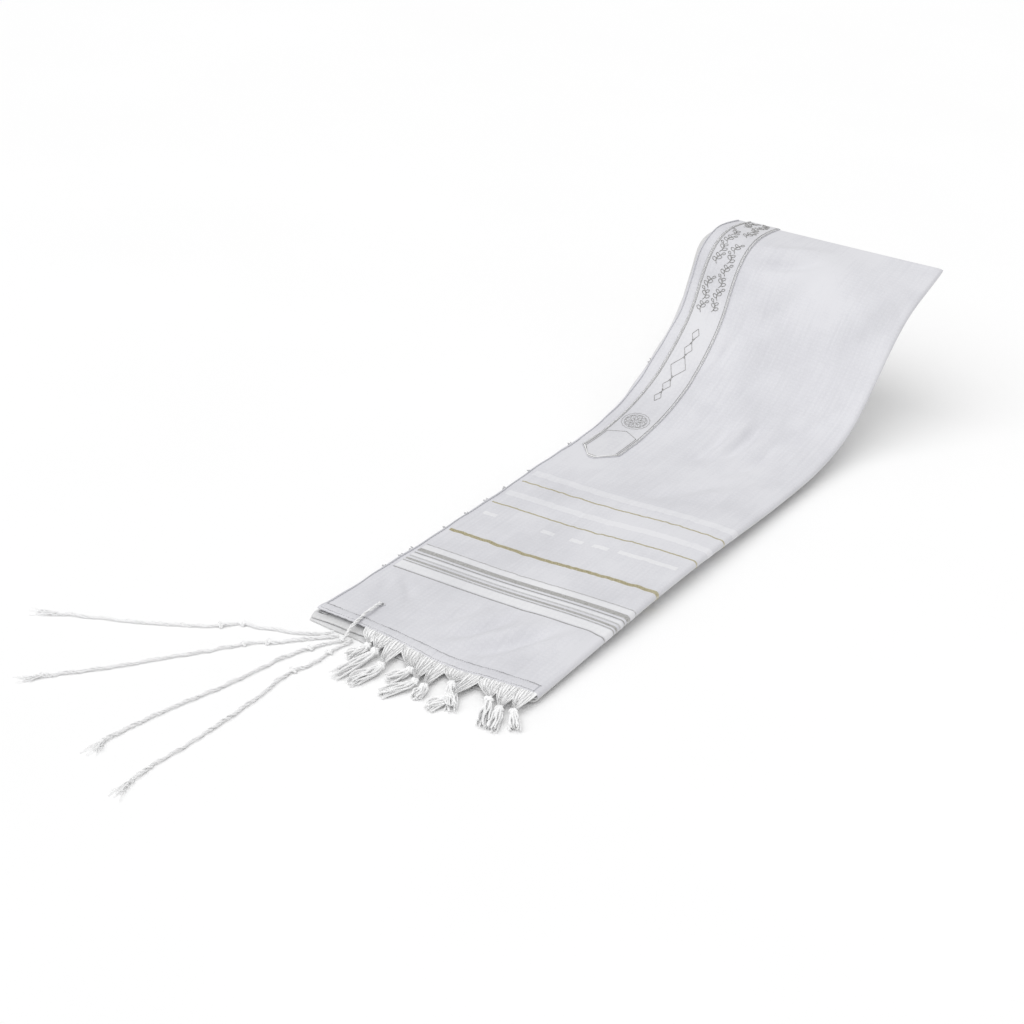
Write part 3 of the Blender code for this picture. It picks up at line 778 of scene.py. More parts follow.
def make_lower_layers(paint):
    """The layers below in one rounded body, parted along the open edges in soft lips."""
    rows, columns = rows_round(-UNDER_TOP), len(columns_round(0.0, -UNDER_TOP))
    rows = rows[::2] if len(rows) % 2 else np.append(rows[:-1:2], rows[-1])

    def layer_skin(lift, side):
        across = np.stack([columns_round(run, lift) for run in rows])
        run = np.broadcast_to(rows[:, None], across.shape)
        return run, across, skin(run, across, lift, side)

    levels = layer_levels()
    upper_run, upper_across, upper = layer_skin(-UNDER_TOP, 1)
    lower_run, lower_across, lower = layer_skin(0.0, -1)

    def pushed(grid_run, grid_across, lift, side, near, left, seed):
        """Where the two open edges of a skin go at a level."""
        runs, acrosses = grid_run[:, 0], grid_across[0]
        wander = 0.0010 * np.sin(37 * runs + seed)
        wander = wander + 0.0007 * np.sin(96 * runs + 2 * seed)
        left_across = -(left + wander) * fold_share(FOLDED_LENGTH - runs, 0.08)
        ripple = 0.0016 * np.sin(29 * acrosses + seed)
        ripple = ripple + 0.0006 * np.sin(120 * acrosses + seed)
        near_run = -(near + ripple) * fold_share(FOLDED_WIDTH - acrosses, 0.09)
        corner_pull = left_across[0] * np.exp(-acrosses / 0.01)
        side_points = skin(runs, left_across, lift, side)
        hem_points = skin(near_run, acrosses + corner_pull, lift, side)
        return side_points, hem_points

    first, last = levels[0], levels[-1]
    for grid, place, lift, side, level in (
        (upper, (upper_run, upper_across), -UNDER_TOP, 1, first),
        (lower, (lower_run, lower_across), 0.0, -1, last),
    ):
        side_points, hem_points = pushed(*place, lift, side, *level[1:])
        grid[:, 0] = side_points
        grid[0] = hem_points
    points = [upper.reshape(-1, 3), lower.reshape(-1, 3)]
    count = upper.shape[0] * columns
    faces = list(grid_faces(len(rows), columns)) + list(grid_faces(len(rows), columns, count, True))
    number = 2 * count

    def edge_numbers(start):
        down = [start + r * columns for r in range(len(rows) - 1, -1, -1)]
        return down + [start + c for c in range(1, columns)]

    lines = [edge_numbers(0)]
    for height, near, left, seed in levels[1:-1]:
        above = pushed(upper_run, upper_across, -UNDER_TOP, 1, near, left, seed)
        below = pushed(lower_run, lower_across, 0.0, -1, near, left, seed)
        side_line = below[0] + (above[0] - below[0]) * height
        hem_line = below[1] + (above[1] - below[1]) * height
        line = np.concatenate([side_line[::-1], hem_line[1:]])
        points.append(line)
        lines.append(list(range(number, number + len(line))))
        number += len(line)
    lines.append(edge_numbers(count))
    for above, below in zip(lines, lines[1:]):
        for i in range(len(above) - 1):
            faces.append([above[i], below[i], below[i + 1], above[i + 1]])
    fold = [r * columns + columns - 1 for r in range(len(rows))]
    fold += [(len(rows) - 1) * columns + c for c in range(columns - 2, -1, -1)]
    for a, b in zip(fold, fold[1:]):
        faces.append([a, a + count, b + count, b])
    far_corner = [line[0] for line in lines]
    near_corner = [line[-1] for line in lines]
    faces.append(far_corner[::-1])
    faces.append(near_corner)
    uv = np.concatenate([np.stack([p[:, 0], p[:, 1]], -1) for p in points])
    # Its colour is the darker layers one, painted shade of the recesses between the layers.
    return mesh_piece("lower_layers", np.concatenate(points), faces, paint["layers"], uv)


# ---------------------------------------------------------------- woven stripes
STRIPES = {
    # run of the middle, width, material, how much it stands up
    "thin_silver": (0.1105, 0.0011, "silver", 0.00028),
    "satin_1": (0.1190, 0.0120, "satin", 0.00010),
    "silver_a_low": (0.1270, 0.0012, "silver_mesh", 0.00026),
    "silver_a_mid": (0.1318, 0.0030, "silver_mesh", 0.00024),
    "silver_a_high": (0.1378, 0.0016, "silver_pale", 0.00022),
    "satin_2": (0.1415, 0.0034, "satin", 0.00010),
    "silver_b_low": (0.1458, 0.0012, "silver", 0.00030),
    "silver_b_wide": (0.1530, 0.0058, "silver_mesh", 0.00030),
    "satin_3": (0.1610, 0.0080, "satin", 0.00010),
    "thin_grey": (0.1665, 0.0007, "silver_mesh", 0.00020),
    "gold_wide": (0.2065, 0.0048, "gold", 0.00026),
    "gold_1": (0.2815, 0.0017, "gold", 0.00026),
    "satin_4": (0.3080, 0.0100, "satin_soft", 0.00010),
    "gold_2": (0.3370, 0.0017, "gold", 0.00026),
    "satin_5": (0.3600, 0.0110, "satin_soft", 0.00010),
}
SELVEDGE = 0.006         # the stripes stop this far in from the open edge
# The satin stripe before the first gold line is drawn only in dashes, where the light catches it on
# its folds: painted highlight; the stripe between them is left out.
SATIN_HIGHLIGHT_SPANS = {
    "run": 0.2570, "width": 0.0062, "rise": 0.00012,
    "spans": [(0.012, 0.028), (0.082, 0.097), (0.116, 0.131), (0.142, 0.160), (0.172, 0.238)],
}


def stripe_places(run, first=SELVEDGE, last=None):
    """Across places of a stripe over the top, and on round the fold to underneath."""
    over = columns_round(run, 0.0, turns=10)
    over = over[over > first]
    over = np.concatenate([[first], over])
    if last is not None:
        over = over[over < last]
        return np.append(over, last), None
    return over, columns_round(run, 0.0, turns=10)[::-1]


def make_stripe(name, run, width, rise, material, first=SELVEDGE, last=None):
    """A woven stripe as a thin closed ribbon that follows the cloth round its fold."""
    over, under = stripe_places(run, first, last)
    rows = np.linspace(run - width / 2, run + width / 2, max(2, round(width / 0.0024) + 1))

    def ribbon(lift):
        lines = []
        for row in rows:
            line = skin(row, over, lift)
            if under is not None:
                line = np.concatenate([line, skin(row, under[1:], lift, -1)])
            lines.append(line)
        return np.stack(lines)

    outer, inner = ribbon(rise), ribbon(-0.00025)
    across = over if under is None else np.concatenate([over, 2 * FOLDED_WIDTH - under[1:]])
    return slab(name, outer, inner, material, grid_uv(across, rows, outer.shape[:2]))


def make_stripes(paint):
    """The stripes across the cloth, whole ones and the satin one drawn only in dashes of painted
    highlight.
    """
    pieces = []
    for name, (run, width, colour, rise) in STRIPES.items():
        pieces.append(make_stripe(name, run, width, rise, paint[colour]))
    d = SATIN_HIGHLIGHT_SPANS
    for i, (first, last) in enumerate(d["spans"]):
        pieces.append(make_stripe(f"satin_highlight_{i + 1}", d["run"], d["width"], d["rise"],
                                  paint["satin"], first, last))
    return pieces


def make_gold_chain(paint, trees):
    """Slanting stitches that give the wide gold stripe its chain texture."""
    middle = STRIPES["gold_wide"][0]
    points, along, square = [], [], []
    pitch = 0.0021
    for row, slant in ((-0.0011, 0.75), (0.0011, -0.75)):
        over = np.arange(SELVEDGE, FOLDED_WIDTH - 0.012, pitch) + (pitch / 2 if slant > 0 else 0)
        place, way, up = on_cloth(np.full(len(over), middle + row), over, 0.00035)
        side = np.cross(up, way)
        points.append(place)
        along.append(way * math.cos(slant) + side * math.sin(slant))
        square.append(up)
    return stitches("gold_chain", np.concatenate(points), np.concatenate(along),
                    np.concatenate(square), 1.0, paint["gold"], trees["stitch"],
                    (0.0027, 0.0011, 0.0008))


# ---------------------------------------------------------------- the near hem
HEM_ROWS = (0.0012, 0.0120)     # runs of the lower and the upper stitched line
# The hem band's rows: their runs, how far they stand up, and which of them are ribbed.
HEM_BAND = {
    "run": [-0.0004, 0.0004, 0.0028, 0.0056, 0.0084, 0.0108, 0.0116],
    "rise": [0.00025, 0.0008, 0.00095, 0.0010, 0.00095, 0.0008, 0.00015],
    "ribbed": [0, 1, 1, 1, 1, 1, 0],
}


def make_near_hem(paint):
    """The turned hem: a ribbed band along the near edge of the top layer."""
    across = spaced(0.0003, FOLDED_WIDTH - 0.0055, 0.00065)
    rows, profile, ribbed = (np.array(column) for column in HEM_BAND.values())
    ribs = 0.00022 * np.sin(2 * np.pi * np.arange(len(across)) / 2.6)
    run = np.broadcast_to(rows[:, None], (len(rows), len(across)))
    lift = profile[:, None] + ribbed[:, None] * ribs[None, :]
    outer = np.stack([skin(run[i], across, 0.0) + upward(run[i], across) * lift[i][:, None]
                      for i in range(len(rows))])
    inner = skin(run, np.broadcast_to(across, run.shape), -0.0003)
    return slab("hem_band", outer, inner, paint["hem"], grid_uv(across, rows, run.shape))


def make_hem_stitches(paint, trees):
    """The two stitched lines of the near hem."""
    pieces = []
    for number, (run, lift, step, shape) in enumerate((
        (HEM_ROWS[1], 0.0004, 0.0023, (0.0021, 0.0010, 0.0007)),
        (HEM_ROWS[0], 0.0010, 0.0026, (0.0024, 0.0007, 0.0005)),
    )):
        across = np.arange(0.004, FOLDED_WIDTH - 0.004, step)
        wobble = 0.0003 * np.sin(170 * across + number)
        points, along, square = on_cloth(run + wobble, across, lift)
        size = 0.9 + 0.2 * np.sin(57 * np.arange(len(across)))
        name = ("hem_stitches_upper", "hem_stitches_lower")[number]
        pieces.append(stitches(name, points, along, square, size, paint["stitch"],
                               trees["stitch"], shape))
    return pieces


# ---------------------------------------------------------------- the selvedge
def make_selvedge(paint, trees):
    """The narrow rolled edge of the top layer along the open side."""
    run = spaced(0.004, FOLDED_LENGTH - 0.012, 0.0027)
    across = 0.0011 + 0.0005 * np.sin(47 * run) + 0.0003 * np.sin(131 * run)
    line = skin(run, across, 0.0006)
    thick = 0.85 + 0.25 * np.sin(61 * run) * np.sin(17 * run)
    return yarns("selvedge_roll", "selvedge", [line], [thick], paint["cloth"], trees)


# Where loose weft ends stand out of the selvedge.
TUFT_RUNS = [0.104, 0.131, 0.149, 0.204, 0.243, 0.279, 0.312, 0.358, 0.438, 0.611]


def make_tufts(paint, trees):
    """Small curled ends of the stripes' yarns at the selvedge."""
    lines = []
    for number, run in enumerate(TUFT_RUNS):
        for strand in range(3):
            turn = 1.7 * number + 2.3 * strand
            t = np.linspace(0, 1, 9)
            reach = 0.0022 + 0.0010 * math.sin(turn)
            away = 0.0012 - reach * np.sin(np.pi * t * 0.8)
            along = run + 0.0016 * (strand - 1) + 0.0020 * t * math.cos(turn)
            line = skin(along, np.maximum(away, -0.004), 0.0006)
            line[:, 0] = away
            line[:, 2] += 0.0010 * np.sin(np.pi * t)
            lines.append(line)
    return yarns("selvedge_tufts", "tuft", lines, [1.0] * len(lines), paint["tuft"], trees)


# ---------------------------------------------------------------- the neckband
NECKBAND = {
    "run": [0.446, 0.600, 0.720, 0.860],
    "left": [0.0115, 0.0155, 0.0120, 0.0125],
    "right": [0.0580, 0.0585, 0.0525, 0.0490],
}
NECK_LIFT = 0.0003       # the band's underside, above the cloth
NECK_WALL = 0.0010
NECK_WIDTH = 0.045
THREAD_LIFT = 0.0001     # embroidery lines lie this far above the band's face
NECK_FACE = NECK_LIFT + NECK_WALL
BAND_SHOULDER = 0.446
BAND_POINT = 0.021       # the near end is drawn out this far to a blunt point
BAND_BLUNT = 0.0065      # and this wide at its tip


def band_edge(side, run):
    """Where an edge of the neckband lies. It runs out to the blunt point at its near end."""
    edge = np.interp(run, NECKBAND["run"], NECKBAND[side])
    shoulder = NECKBAND[side][0]
    middle = (NECKBAND["left"][0] + NECKBAND["right"][0]) / 2
    tip = middle + math.copysign(BAND_BLUNT / 2, shoulder - middle)
    share = np.clip((BAND_SHOULDER - np.asarray(run, float)) / BAND_POINT, 0, 1)
    return edge + (tip - shoulder) * share


def band_place(run, share):
    """Across place on the band by its share of the band's width."""
    left, right = band_edge("left", run), band_edge("right", run)
    return left + (right - left) * np.asarray(share, float)


def make_neckband(paint):
    """The satin band, over the top, round the far fold and back underneath."""
    tip = BAND_SHOULDER - BAND_POINT
    over = np.concatenate([spaced(tip, BAND_SHOULDER, 0.0026), rows_round(0.0)])
    over = np.unique(np.round(over[over >= tip], 6))
    shares = np.linspace(0, 1, 21)

    def face(lift):
        lines = []
        for side, rows in ((1, over), (-1, over[-2::-1])):
            for run in rows:
                across = band_place(min(run, FOLDED_LENGTH), shares)
                outermost = run > FOLDED_LENGTH - 0.0003
                turned = min(run, FOLDED_LENGTH) + (lift if outermost else 0.0)
                lines.append(skin(turned, across, lift, side))
        return np.stack(lines)

    outer, inner = face(NECK_FACE), face(NECK_LIFT)
    runs = np.concatenate([over, 2 * FOLDED_LENGTH - over[-2::-1]])
    uv = grid_uv(shares * NECK_WIDTH, runs, outer.shape[:2])
    return slab("neckband_band", outer, inner, paint["band"], uv)


def distances(line):
    """How far along a line each of its points is."""
    return np.concatenate([[0], np.cumsum(np.linalg.norm(np.diff(line, axis=0), axis=1))])


def resampled(points, step):
    """(run, across) points a step apart on straight lines between corners."""
    points = np.asarray(points, float)
    far = distances(points)
    at = np.linspace(0, far[-1], max(3, round(far[-1] / step) + 1))
    return np.stack([np.interp(at, far, points[:, k]) for k in (0, 1)], -1)


def embroidery_line(points, step=0.0012, face=1):
    """A thread's line on the band's upper (face 1) or lower (face -1) side."""
    line = resampled(points, step)
    return skin(line[:, 0], line[:, 1], NECK_FACE + THREAD_LIFT, face)


def make_band_borders(paint, trees):
    """The silver border line and the white one outside it, along each side of the band, and one more
    silver line just outside the left edge, painted shade of that edge.
    """
    top_runs = spaced(BAND_SHOULDER, FOLDED_LENGTH - 0.006, 0.0011)
    silver, white = [], []
    for side, sign in (("left", 1), ("right", -1)):
        across = band_edge(side, top_runs)
        for lines, inset in ((silver, 0.0027), (white, 0.0010)):
            for face in (1, -1):
                lines.append(skin(top_runs, across + sign * inset, NECK_FACE + THREAD_LIFT, face))
    # The line just outside the band's left edge, a little below its face, is painted shade of that
    # edge; the right edge has none.
    edge_shade_lift = NECK_FACE - 0.0006
    silver.append(skin(top_runs, band_edge("left", top_runs) - 0.0002, edge_shade_lift))
    return [
        yarns("band_border", "border", silver, [1.0] * len(silver), paint["silver"], trees),
        yarns("band_edging", "edging", white, [1.0] * len(white), paint["fringe"], trees),
    ]


HEXAGON_TOP = 0.0420     # the end panel reaches this far past the band's shoulders
HEXAGON_PEAK = 0.009     # and its far side is drawn out this much more to a point
HEXAGON_LINES = {"inner": 0.0046, "white": 0.0028, "outer": 0.0012}    # inset of each line


def make_band_end(paint, trees):
    """The double outline of the pointed end and the panel inside it."""
    low, high = BAND_SHOULDER, BAND_SHOULDER + HEXAGON_TOP
    tip = low - BAND_POINT

    def corner(run, share, inset=0.0):
        return run, float(band_place(run, share)) + inset

    def outline(inset, close):
        left, right = corner(low, 0, inset), corner(low, 1, -inset)
        points = [corner(high, 0, inset), left,
                  corner(tip + inset, 0, 0.3 * inset), corner(tip + inset, 1, -0.3 * inset),
                  right, corner(high, 1, -inset)]
        if close:
            points += [corner(high + HEXAGON_PEAK, 0.52), corner(high, 0, inset)]
        return points

    inner = embroidery_line(outline(HEXAGON_LINES["inner"], True))
    outer = embroidery_line(outline(HEXAGON_LINES["outer"], False)[1:-1])
    silver = yarns("band_end_silver", "band_end", [inner, outer], [1.0, 0.9], paint["silver"],
                   trees)
    pale = embroidery_line(outline(HEXAGON_LINES["white"], False)[1:-1])
    white = yarns("band_end_white", "band_end_white", [pale], [1.0], paint["fringe"], trees)
    return [silver, white]


ROSETTE = {"run": 0.519, "across": 0.0345, "radius": 0.0150}


def rosette_lines():
    """A round eight-petalled flower with a scalloped rim: (run, across) lines."""
    at, middle, radius = ROSETTE["run"], ROSETTE["across"], ROSETTE["radius"]
    turn = np.linspace(0, 2 * math.pi, 97)

    def ring(sizes):
        return np.stack([at + sizes * np.cos(turn), middle + sizes * np.sin(turn)], -1)

    lines = [
        ring(radius * (1 + 0.055 * np.abs(np.sin(8 * turn)))),
        ring(np.full(97, 0.84 * radius)),
        ring(np.full(97, 0.24 * radius)),
        ring(np.full(97, 0.12 * radius)),
    ]
    for petal in range(8):
        angle = petal * math.pi / 4
        t = np.linspace(0, 1, 25)
        out = radius * (0.27 + 0.50 * np.sin(math.pi * t))
        swing = 0.33 * np.sin(2 * math.pi * t)
        lines.append(np.stack([at + out * np.cos(angle + swing),
                               middle + out * np.sin(angle + swing)], -1))
        vein = np.linspace(0.30, 0.66, 8) * radius
        lines.append(np.stack([at + vein * math.cos(angle), middle + vein * math.sin(angle)], -1))
        for offset in (-0.2, 0.2):
            spoke = np.linspace(0.68, 0.82, 5) * radius
            side = angle + math.pi / 8 + offset
            lines.append(np.stack([at + spoke * math.cos(side), middle + spoke * math.sin(side)], -1))
    return lines


DIAMONDS = [
    # run of the middle, half length, half width
    (0.5680, 0.0075, 0.0042), (0.5875, 0.0085, 0.0048), (0.6155, 0.0160, 0.0094),
    (0.6420, 0.0085, 0.0048), (0.6625, 0.0075, 0.0042),
]
DIAMOND_SHARE = 0.44


def diamond_lines():
    """The chain of lozenges up the middle of the band, their sides bowed out a little."""
    lines = []
    for run, long, wide in DIAMONDS:
        turn = np.linspace(0, 2 * math.pi, 41)
        cosine, sine = np.cos(turn), np.sin(turn)
        size = 1 / (np.abs(cosine) + np.abs(sine))
        middle = float(band_place(run, DIAMOND_SHARE))
        lines.append(np.stack([run + long * size * cosine, middle + wide * size * sine], -1))
    for (low, low_long, _), (high, high_long, _) in zip(DIAMONDS, DIAMONDS[1:]):
        middle = float(band_place((low + high) / 2, DIAMOND_SHARE))
        for side in (0.0013, -0.0013):
            lines.append(np.array([[low + 0.8 * low_long, middle - side],
                                   [high - 0.8 * high_long, middle + side]]))
    return lines


SPRIG_ROWS = (0.27, 0.63)      # share of the band's width where each vine lies
SPRIG_START = 0.690
SPRIG_STEP = 0.0145
SPRIG_GAPS = ((3, 8), (6,))    # sprigs left out, which parts each row into groups


def sprig_lines():
    """Two rows of short leafy sprigs up the band to the far fold."""
    lines = []
    for row, share in enumerate(SPRIG_ROWS):
        runs = np.arange(SPRIG_START + 0.004 * row, FOLDED_LENGTH - 0.014, SPRIG_STEP)
        for number, run in enumerate(runs):
            if number in SPRIG_GAPS[row]:
                continue
            flip = 1 if (number + row) % 2 else -1
            middle = float(band_place(run, share))
            t = np.linspace(0, 1, 9)
            stem = np.stack([run + 0.0125 * t,
                             middle + flip * (0.0024 * np.sin(math.pi * t * 1.2) - 0.0014)], -1)
            lines.append(stem)
            for at, side, size in ((0.20, 1, 0.0058), (0.45, -1, 0.0060), (0.72, 1, 0.0050),
                                   (1.0, -1, 0.0042)):
                base = stem[round(at * 8)]
                heading = 0.95 * side * flip
                u = np.linspace(0, 2 * math.pi, 17)
                along = size * (0.5 - 0.5 * np.cos(u))
                aside = 0.30 * size * np.sin(u)
                lines.append(np.stack([
                    base[0] + along * math.cos(heading) - aside * math.sin(heading),
                    base[1] + along * math.sin(heading) + aside * math.cos(heading),
                ], -1))
    return lines


def make_motifs(paint, trees):
    """The rosette, the lozenges and the leaf sprigs, in raised silver thread."""
    pieces = []
    for name, flat_lines, thickness in (
        ("band_rosette", rosette_lines(), 0.75),
        ("band_lozenges", diamond_lines(), 1.0),
        ("band_sprigs", sprig_lines(), 1.25),
    ):
        lines = []
        for face in (1, -1):
            for points in flat_lines:
                lines.append(embroidery_line(points, 0.0010, face))
        thick = [thickness] * len(lines)
        pieces.append(yarns(name, "motif", lines, thick, paint["silver"], trees))
    return pieces


# ---------------------------------------------------------------- the knotted fringe
BUNCHES = [
    # the stretch of hem it gathers, its knot (x, y, z), its tassel's end (x, y) and width
    ((0.058, 0.073), (0.0740, -0.0200, 0.0060), (0.0690, -0.0470), 0.0085),
    ((0.070, 0.089), (0.0860, -0.0250, 0.0070), (0.0785, -0.0790), 0.0105),
    ((0.086, 0.104), (0.1040, -0.0400, 0.0060), (0.0965, -0.0790), 0.0110),
    ((0.101, 0.125), (0.1290, -0.0300, 0.0060), (0.1190, -0.0540), 0.0100),
    ((0.121, 0.141), (0.1430, -0.0420, 0.0060), (0.1290, -0.0770), 0.0095),
    ((0.137, 0.154), (0.1540, -0.0430, 0.0055), (0.1570, -0.0620), 0.0100),
    ((0.150, 0.175), (0.1720, -0.0270, 0.0070), (0.1950, -0.0600), 0.0100),
    ((0.169, 0.190), (0.1820, -0.0440, 0.0060), (0.1740, -0.0690), 0.0090),
    ((0.186, 0.212), (0.2130, -0.0280, 0.0070), (0.2300, -0.0640), 0.0105),
    ((0.208, 0.230), (0.2280, -0.0340, 0.0065), (0.2390, -0.0640), 0.0100),
    ((0.226, 0.2435), (0.2400, -0.0300, 0.0070), (0.2555, -0.0500), 0.0085),
]
WARP_STEP = 0.00105
WEB_TIP = 0.0088         # the web's width at its knot, as a share of its width at the hem
TASSEL_YARNS = 18


def fringe_start(across):
    """Where a warp thread leaves the lower edge of the hem."""
    return skin(0.0, across, 0.0002) + np.array([0, 0.0003, -0.0001])


def warp_line(across, knot, number):
    """A loose warp thread: straight out of the hem, then gathered into its knot.

    Without a number it is a plain line of the web that the threads lie on.
    """
    start = fringe_start(across)
    end = np.array(knot, float)
    if number is not None:
        end += 0.0014 * np.array([math.sin(2.1 * number), 0.4, math.cos(1.7 * number)])
    aside = end[0] - start[0]
    out = start + np.array([0.10 * aside, -0.0125, -0.0020])
    near = end + np.array([-0.42 * aside, 0.0075, 0.0022])
    t = np.linspace(0, 1, 15)[:, None]
    line = ((1 - t) ** 3 * start + 3 * (1 - t) ** 2 * t * out
            + 3 * (1 - t) * t * t * near + t ** 3 * end)
    if number is None:
        line[:, 0] += WEB_TIP * (start[0] - line[-1, 0]) * t[:, 0]
    else:
        line[:, 0] += 0.0004 * np.sin(5.0 * t[:, 0] + 1.9 * number)
        line[:, 2] += 0.0003 * np.sin(7.0 * t[:, 0] + 2.7 * number)
    line[:, 2] = np.maximum(line[:, 2], 0.0008)
    return line


def make_warp(paint, trees):
    """The loose warp below the hem, gathered thread by thread into the knots."""
    lines = []
    for (low, high), knot, _, _ in BUNCHES:
        for number, across in enumerate(np.arange(low, high, WARP_STEP)):
            lines.append(warp_line(float(across), knot, number))
    thick = [0.9 + 0.25 * math.sin(3.3 * i) for i in range(len(lines))]
    return yarns("fringe_warp", "warp", lines, thick, paint["fringe"], trees)


def make_webs(paint):
    """The matted web under the loose warp of each bunch, which its threads lie on."""
    pieces = []
    for number, ((low, high), knot, _, _) in enumerate(BUNCHES):
        across = spaced(low - 0.0012, high + 0.0012, 0.0012)
        face = np.stack([warp_line(float(a), knot, None) for a in across], 1)[:-1]
        face[..., 2] = np.maximum(face[..., 2] + 0.0001, 0.0010)
        under = face + np.array([0.0, 0.0004, -0.0006])
        under[..., 2] = np.maximum(under[..., 2], 0.0003)
        pieces.append(slab(f"fringe_web_{number + 1}", face[::-1], under[::-1], paint["fringe"]))
    return pieces


def trefoil(count):
    """An overhand knot's closed line, as its shares across, along and up."""
    t = np.linspace(0, 2 * math.pi, count)
    return np.sin(t) + 2 * np.sin(2 * t), np.cos(t) - 2 * np.cos(2 * t), -np.sin(3 * t)


def make_knots(paint, trees):
    """A rounded overhand knot at the head of each tassel."""
    lines = []
    across, along, up = trefoil(49)
    for number, (_, knot, end, width) in enumerate(BUNCHES):
        way = unit(np.array([end[0] - knot[0], end[1] - knot[1], 0.0]))
        aside = np.array([-way[1], way[0], 0.0])
        size = 0.098 * width
        line = np.array(knot) + np.outer(across * size, aside) + np.outer(0.75 * along * size, way)
        line[:, 2] += 1.1 * up * size + 0.0004 * math.sin(number)
        line[:, 2] = np.maximum(line[:, 2], 0.0020)
        lines.append(line)
    return yarns("fringe_knots", "fringe_knot", lines, [1.0] * len(lines), paint["fringe"], trees)


def make_fringe_tassels(paint, trees):
    """The yarns below each knot: plied, a little splayed, with blunt uneven ends."""
    chance = np.random.default_rng(12)
    lines, thick = [], []
    for _, knot, end, width in BUNCHES:
        knot = np.array(knot)
        way = np.array([*end, 0.0]) - knot
        long = np.linalg.norm(way[:2])
        way = unit(way)
        aside = np.array([-way[1], way[0], 0.0])
        for number in range(TASSEL_YARNS):
            spread = (number / (TASSEL_YARNS - 1) - 0.5) * width
            level = 0.0015 + 0.0019 * (number * 5 % 4) + 0.0006 * chance.random()
            reach = long * (1.02 - 0.24 * chance.random())
            bend = 0.0030 * (chance.random() - 0.5)
            lean = 0.0022 * (chance.random() - 0.5)
            t = np.linspace(0, 1, 20)
            line = knot + np.outer(t * reach, way)
            fan = 0.30 + 0.70 * np.sin(np.pi * np.clip(t, 0, 0.5))
            line += np.outer(spread * fan + bend * np.sin(2 * np.pi * t) + lean * t**2, aside)
            line[:, 2] = knot[2] * (1 - t) ** 2 + level * (1 - (1 - t) ** 2)
            line[:, 2] += 0.0007 * np.sin(np.pi * t * 2 + number)
            line[:, 2] = np.maximum(line[:, 2], 0.0013)
            lines.append(line)
            thick.append((0.85 + 0.35 * chance.random()) * (1.0 - 0.30 * t**4))
    return yarns("fringe_tassels", "fringe_tassel", lines, thick, paint["fringe"], trees)


# ---------------------------------------------------------------- the corner tassels
CORD_DIAMETER = 0.0045
CORD_RADIUS = CORD_DIAMETER / 2
LAID = CORD_RADIUS + 0.0001      # the height of a cord's line where it lies on the floor
CORD_STEP = 0.0055
GAP = 0.0003
HEM_WALL = 0.0008
# Each cord's line on the floor, (x, y) from where it leaves the corner to its free end.
CORD_ROUTES = {
    "tassel_1": [
        (0.0320, -0.0160), (0.0275, -0.0210), (0.0180, -0.0290), (0.0045, -0.0375),
        (-0.0150, -0.0445), (-0.0310, -0.0520), (-0.0475, -0.0570), (-0.0650, -0.0770),
        (-0.0920, -0.0945), (-0.1190, -0.1110), (-0.1415, -0.1225), (-0.1620, -0.1320),
        (-0.1860, -0.1450), (-0.2060, -0.1560),
    ],
    "tassel_2": [
        (0.0390, -0.0170), (0.0325, -0.0258), (0.0215, -0.0362), (0.0120, -0.0482),
        (0.0010, -0.0620), (-0.0110, -0.0700), (-0.0230, -0.0860), (-0.0420, -0.1170),
        (-0.0590, -0.1410), (-0.0740, -0.1650), (-0.0890, -0.1870), (-0.1050, -0.2080),
        (-0.1220, -0.2300), (-0.1340, -0.2470),
    ],
    "tassel_4": [
        (0.0530, -0.0160), (0.0535, -0.0240), (0.0495, -0.0380), (0.0500, -0.0570),
        (0.0490, -0.0750), (0.0435, -0.0880), (0.0430, -0.1110), (0.0460, -0.1370),
        (0.0472, -0.1800), (0.0470, -0.2200), (0.0462, -0.2480), (0.0442, -0.2720),
        (0.0458, -0.3060), (0.0500, -0.3230),
    ],
}
EYELET = {"run": 0.041, "across": 0.0433}     # where the third tassel comes out
EYELET_RADIUS = 0.0026
HOLE_RADIUS = 0.0014
# The third one lies over the cloth as (across, run), drops past the hem and is then laid.
OVER_HEM = [(0.0440, 0.032), (0.0450, 0.020), (0.0462, 0.009), (0.0472, 0.001)]
HEM_DROP = [
    (0.0478, -0.0070, 0.0128), (0.0480, -0.0130, 0.0098),
    (0.0476, -0.0190, 0.0058), (0.0455, -0.0240, 0.0030),
]
TASSEL_3 = [
    (0.0425, -0.0280), (0.0370, -0.0375), (0.0315, -0.0500), (0.0240, -0.0710),
    (0.0195, -0.0940), (0.0160, -0.1200), (0.0105, -0.1510), (0.0030, -0.1820),
    (-0.0030, -0.2090), (-0.0075, -0.2350), (-0.0105, -0.2570), (-0.0120, -0.2740),
    (-0.0060, -0.2900),
]


def through(points, step):
    """Points about a step apart on a smooth curve through given ones."""
    points = np.asarray(points, float)
    padded = [2 * points[0] - points[1], *points, 2 * points[-1] - points[-2]]
    line = []
    for a, b, c, d in zip(padded, padded[1:], padded[2:], padded[3:]):
        count = max(1, round(np.linalg.norm(c - b) / step))
        for i in range(count):
            t = i / count
            line.append(0.5 * (
                2 * b + (c - a) * t + (2 * a - 5 * b + 4 * c - d) * t**2
                + (3 * b - a - 3 * c + d) * t**3
            ))
    return np.array([*line, points[-1]])


def cord_route(name):
    """A corner tassel's line in the cloth's own places."""
    if name != "tassel_3":
        return through([(x, y, LAID) for x, y in CORD_ROUTES[name]], CORD_STEP)
    clear = HEM_WALL + 2 * GAP + CORD_RADIUS
    start = skin(EYELET["run"], EYELET["across"], GAP + CORD_RADIUS, creased=False)
    over = [skin(run, across, clear, creased=False) for across, run in OVER_HEM]
    laid = [(x, y, LAID) for x, y in TASSEL_3]
    return through([start, *over, *HEM_DROP, *laid], CORD_STEP)


def line_length(line):
    """A line's length through all its points."""
    return float(np.linalg.norm(np.diff(line, axis=0), axis=1).sum())


